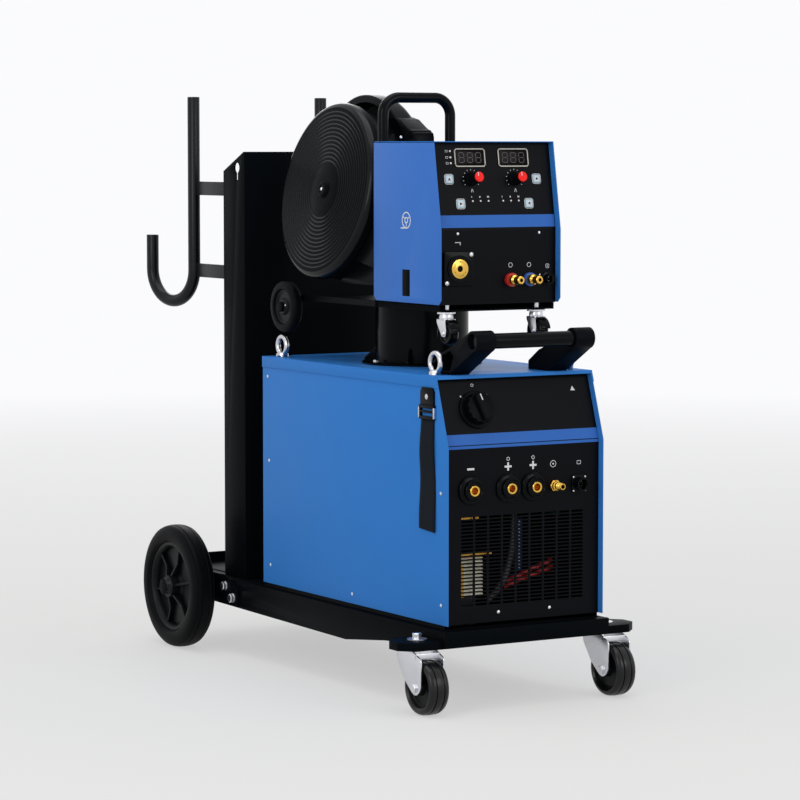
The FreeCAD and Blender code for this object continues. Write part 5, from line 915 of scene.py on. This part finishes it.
# The spool housing: a round tub that leans outwards, let into an upright round back, with a neck
# that runs on to the bulkhead. It is hollow where the wire spool sits.
drum_x, drum_setback, drum_height, drum_lean = -130, 520, 938, radians(10.6)
drum_frame = (Matrix.Translation(spot(drum_x, drum_setback, drum_height))
              @ Matrix.Rotation(drum_lean, 4, "Y"))
drum_axis = drum_frame @ Matrix.Rotation(radians(90), 4, "Y")
arc_steps = 20


def front_arc(radius, start, end):
    """Points round the drum's front, as (distance ahead of the axis, height) by angle above level."""
    angles = [radians(start + (end - start) * i / arc_steps) for i in range(arc_steps + 1)]
    return [(-radius * cos(angle), radius * sin(angle)) for angle in angles]


def drum_sheet(x, outline, thickness, edge):
    """A sheet that stands across the machine, its outline given from the drum's axis."""
    points = [spot(x, drum_setback + y, drum_height + z) for y, z in outline]
    return plate(points, (thickness, 0, 0), 0, edge)


tub = settle(turned([(161.5, 14), (165, 14), (165, 125), (150, 128), (0, 128), (0, 124), (150, 124),
                     (161.5, 120)], 128), drum_axis)
bpy.ops.object.mode_set(mode="EDIT")
bpy.ops.mesh.select_all(action="SELECT")
bpy.ops.mesh.bisect(plane_co=spot(10, drum_setback, drum_height), plane_no=(1, 0, 0), use_fill=True,
                    clear_outer=True)
close_up()
ease(tub, 1.2, 2, 50)
back = [(168, -40), (180, -40), (182, -38), (182, -12), (180.5, -5), (177, 0), (170, 6), (158, 11),
        (140, 14), (0, 14), (0, 11), (150, 10), (166, 2), (168, -6)]
foot = [(-190, -181), (-18, -181)] + front_arc(166, -84, 0) + [(-190, 0)]
upper = front_arc(166, 0, 68) + [(-54, 166), (-104, 140), (-135, 134), (-162, 119), (-187, 108),
                                 (-190, 100), (-190, 0)]
leaning = [(-190, -143), (-190, 75), (-102, 130)] + front_arc(164, 51, -51)
wedge = plate([Vector((28, y, z)) / 1000 for y, z in leaning], (88, 0, 0), 0, 2.5)
hinge_setback, hinge_height = 344, 1044
knuckle = [(0, 0), (7, 0), (8, 1), (8, 43), (7, 44), (0, 44)]
spindle = [(0, 14), (24, 14), (25.4, 16), (25.4, 126), (0, 126)]
parts = [tub, stand(turned(back, 128), spot(0, drum_setback, drum_height), (1, 0, 0)),
         drum_sheet(-103, foot, 105, 3.0), drum_sheet(-40, upper, 44, 4.0), settle(wedge, drum_frame),
         stand(turned(knuckle, 24), spot(-42, hinge_setback, hinge_height), (1, 0, 0)),
         settle(turned(spindle, 48), drum_axis)]
parts += [block(spot(x - 2.5, 331, 1000), spot(x + 2.5, 336, 1043), 0.8) for x in (-104, -86, -26, -8)]
housing_plastic = surface("housing_moulding", (7, 9, 12), 0.9, 0.03, 0.33, patchiness=0.12, specular=0.05)
finished("spool_housing", parts, "feeder", housing_plastic)
hinge_screw = stand(screw(3), spot(2.2, hinge_setback, hinge_height), (1, 0, 0))
fit("knuckle_screw", hinge_screw, "feeder", cast)
fit("housing_screw", stand(screw(3), spot(-70, 331, 1038), (0, -1, 0.4)), "feeder", cast)

# The spool's lid: a round cover with fine concentric ridges round a smooth middle and a small boss.
# Its edge is a little glossier than the rest.
lid = [(171, 26), (171, 12), (169.8, 7.2), (167.4, 3.6), (163.8, 1.2), (159, 0), (50, 0.2), (48, -0.6),
       (18, -0.8), (16, -4.6), (14, -6), (7, -6.4), (5, -5), (0, -5), (0, 3), (157, 3.4), (166, 8), (168, 13),
       (168, 26)]
lid_plastic = surface("lid_moulding", (7, 10, 13), 0.8, 0.02, 0.3, specular=0.02)
finished("spool_lid", settle(turned(lid, 144), drum_axis), "spool_lid", lid_plastic,
         smooth=50)
rim_gloss = surface("lid_rim_gloss", (8, 11, 14), 0.8, 0.01, 0.2, patchiness=0.08, specular=0.14)
rim = [(160.5, -0.4), (164, 0.7), (167.8, 3.2), (170.3, 7), (171.4, 12), (171, 12), (169.6, 7.4),
       (167.2, 3.8), (163.7, 1.4), (160.5, 0.2)]
fit("lid_rim", settle(turned(rim, 144), drum_axis), "spool_lid", rim_gloss, smooth=60)
rings = [settle(turned([(r - 1.4, 0.1), (r, -0.5), (r + 1.4, 0.1), (r, 0.4)], 144), drum_axis)
         for r in range(56, 157, 8)]
fit("lid_rings", rings, "spool_lid", rim_gloss)
boss_screw = turned([(0, -7.2), (2.4, -7.2), (3.4, -6.2), (3.4, -4), (0, -4)], 20)
fit("lid_screw", settle(boss_screw, drum_axis), "spool_lid", cast)

# The wire spool: a black reel with open flanges, wound with copper-washed wire in even turns.
# It shows only when the lid is off.
reel = [(25.6, 15), (150, 15), (150, 18.4), (118, 18.4), (60, 19), (60, 111), (118, 111.6), (150, 111.6),
        (150, 115), (25.6, 115)]
fit("spool_reel", settle(turned(reel, 96), drum_axis), "wire_spool", moulded, "wire_spool")
coil = [(62, 19.4)]
for z in (19.8 + 3.04 * number for number in range(30)):
    coil += [(127.2, z), (128.4, z + 0.8), (128.4, z + 2.0), (127.2, z + 2.9)]
coil.append((62, 110.8))
wire = surface("copper_washed_wire", (196, 128, 88), 0.8, 0.01, 0.3, metallic=1.0, drift=0.15)
fit("spool_wire", settle(turned(coil, 96), drum_axis), "wire_spool", wire)
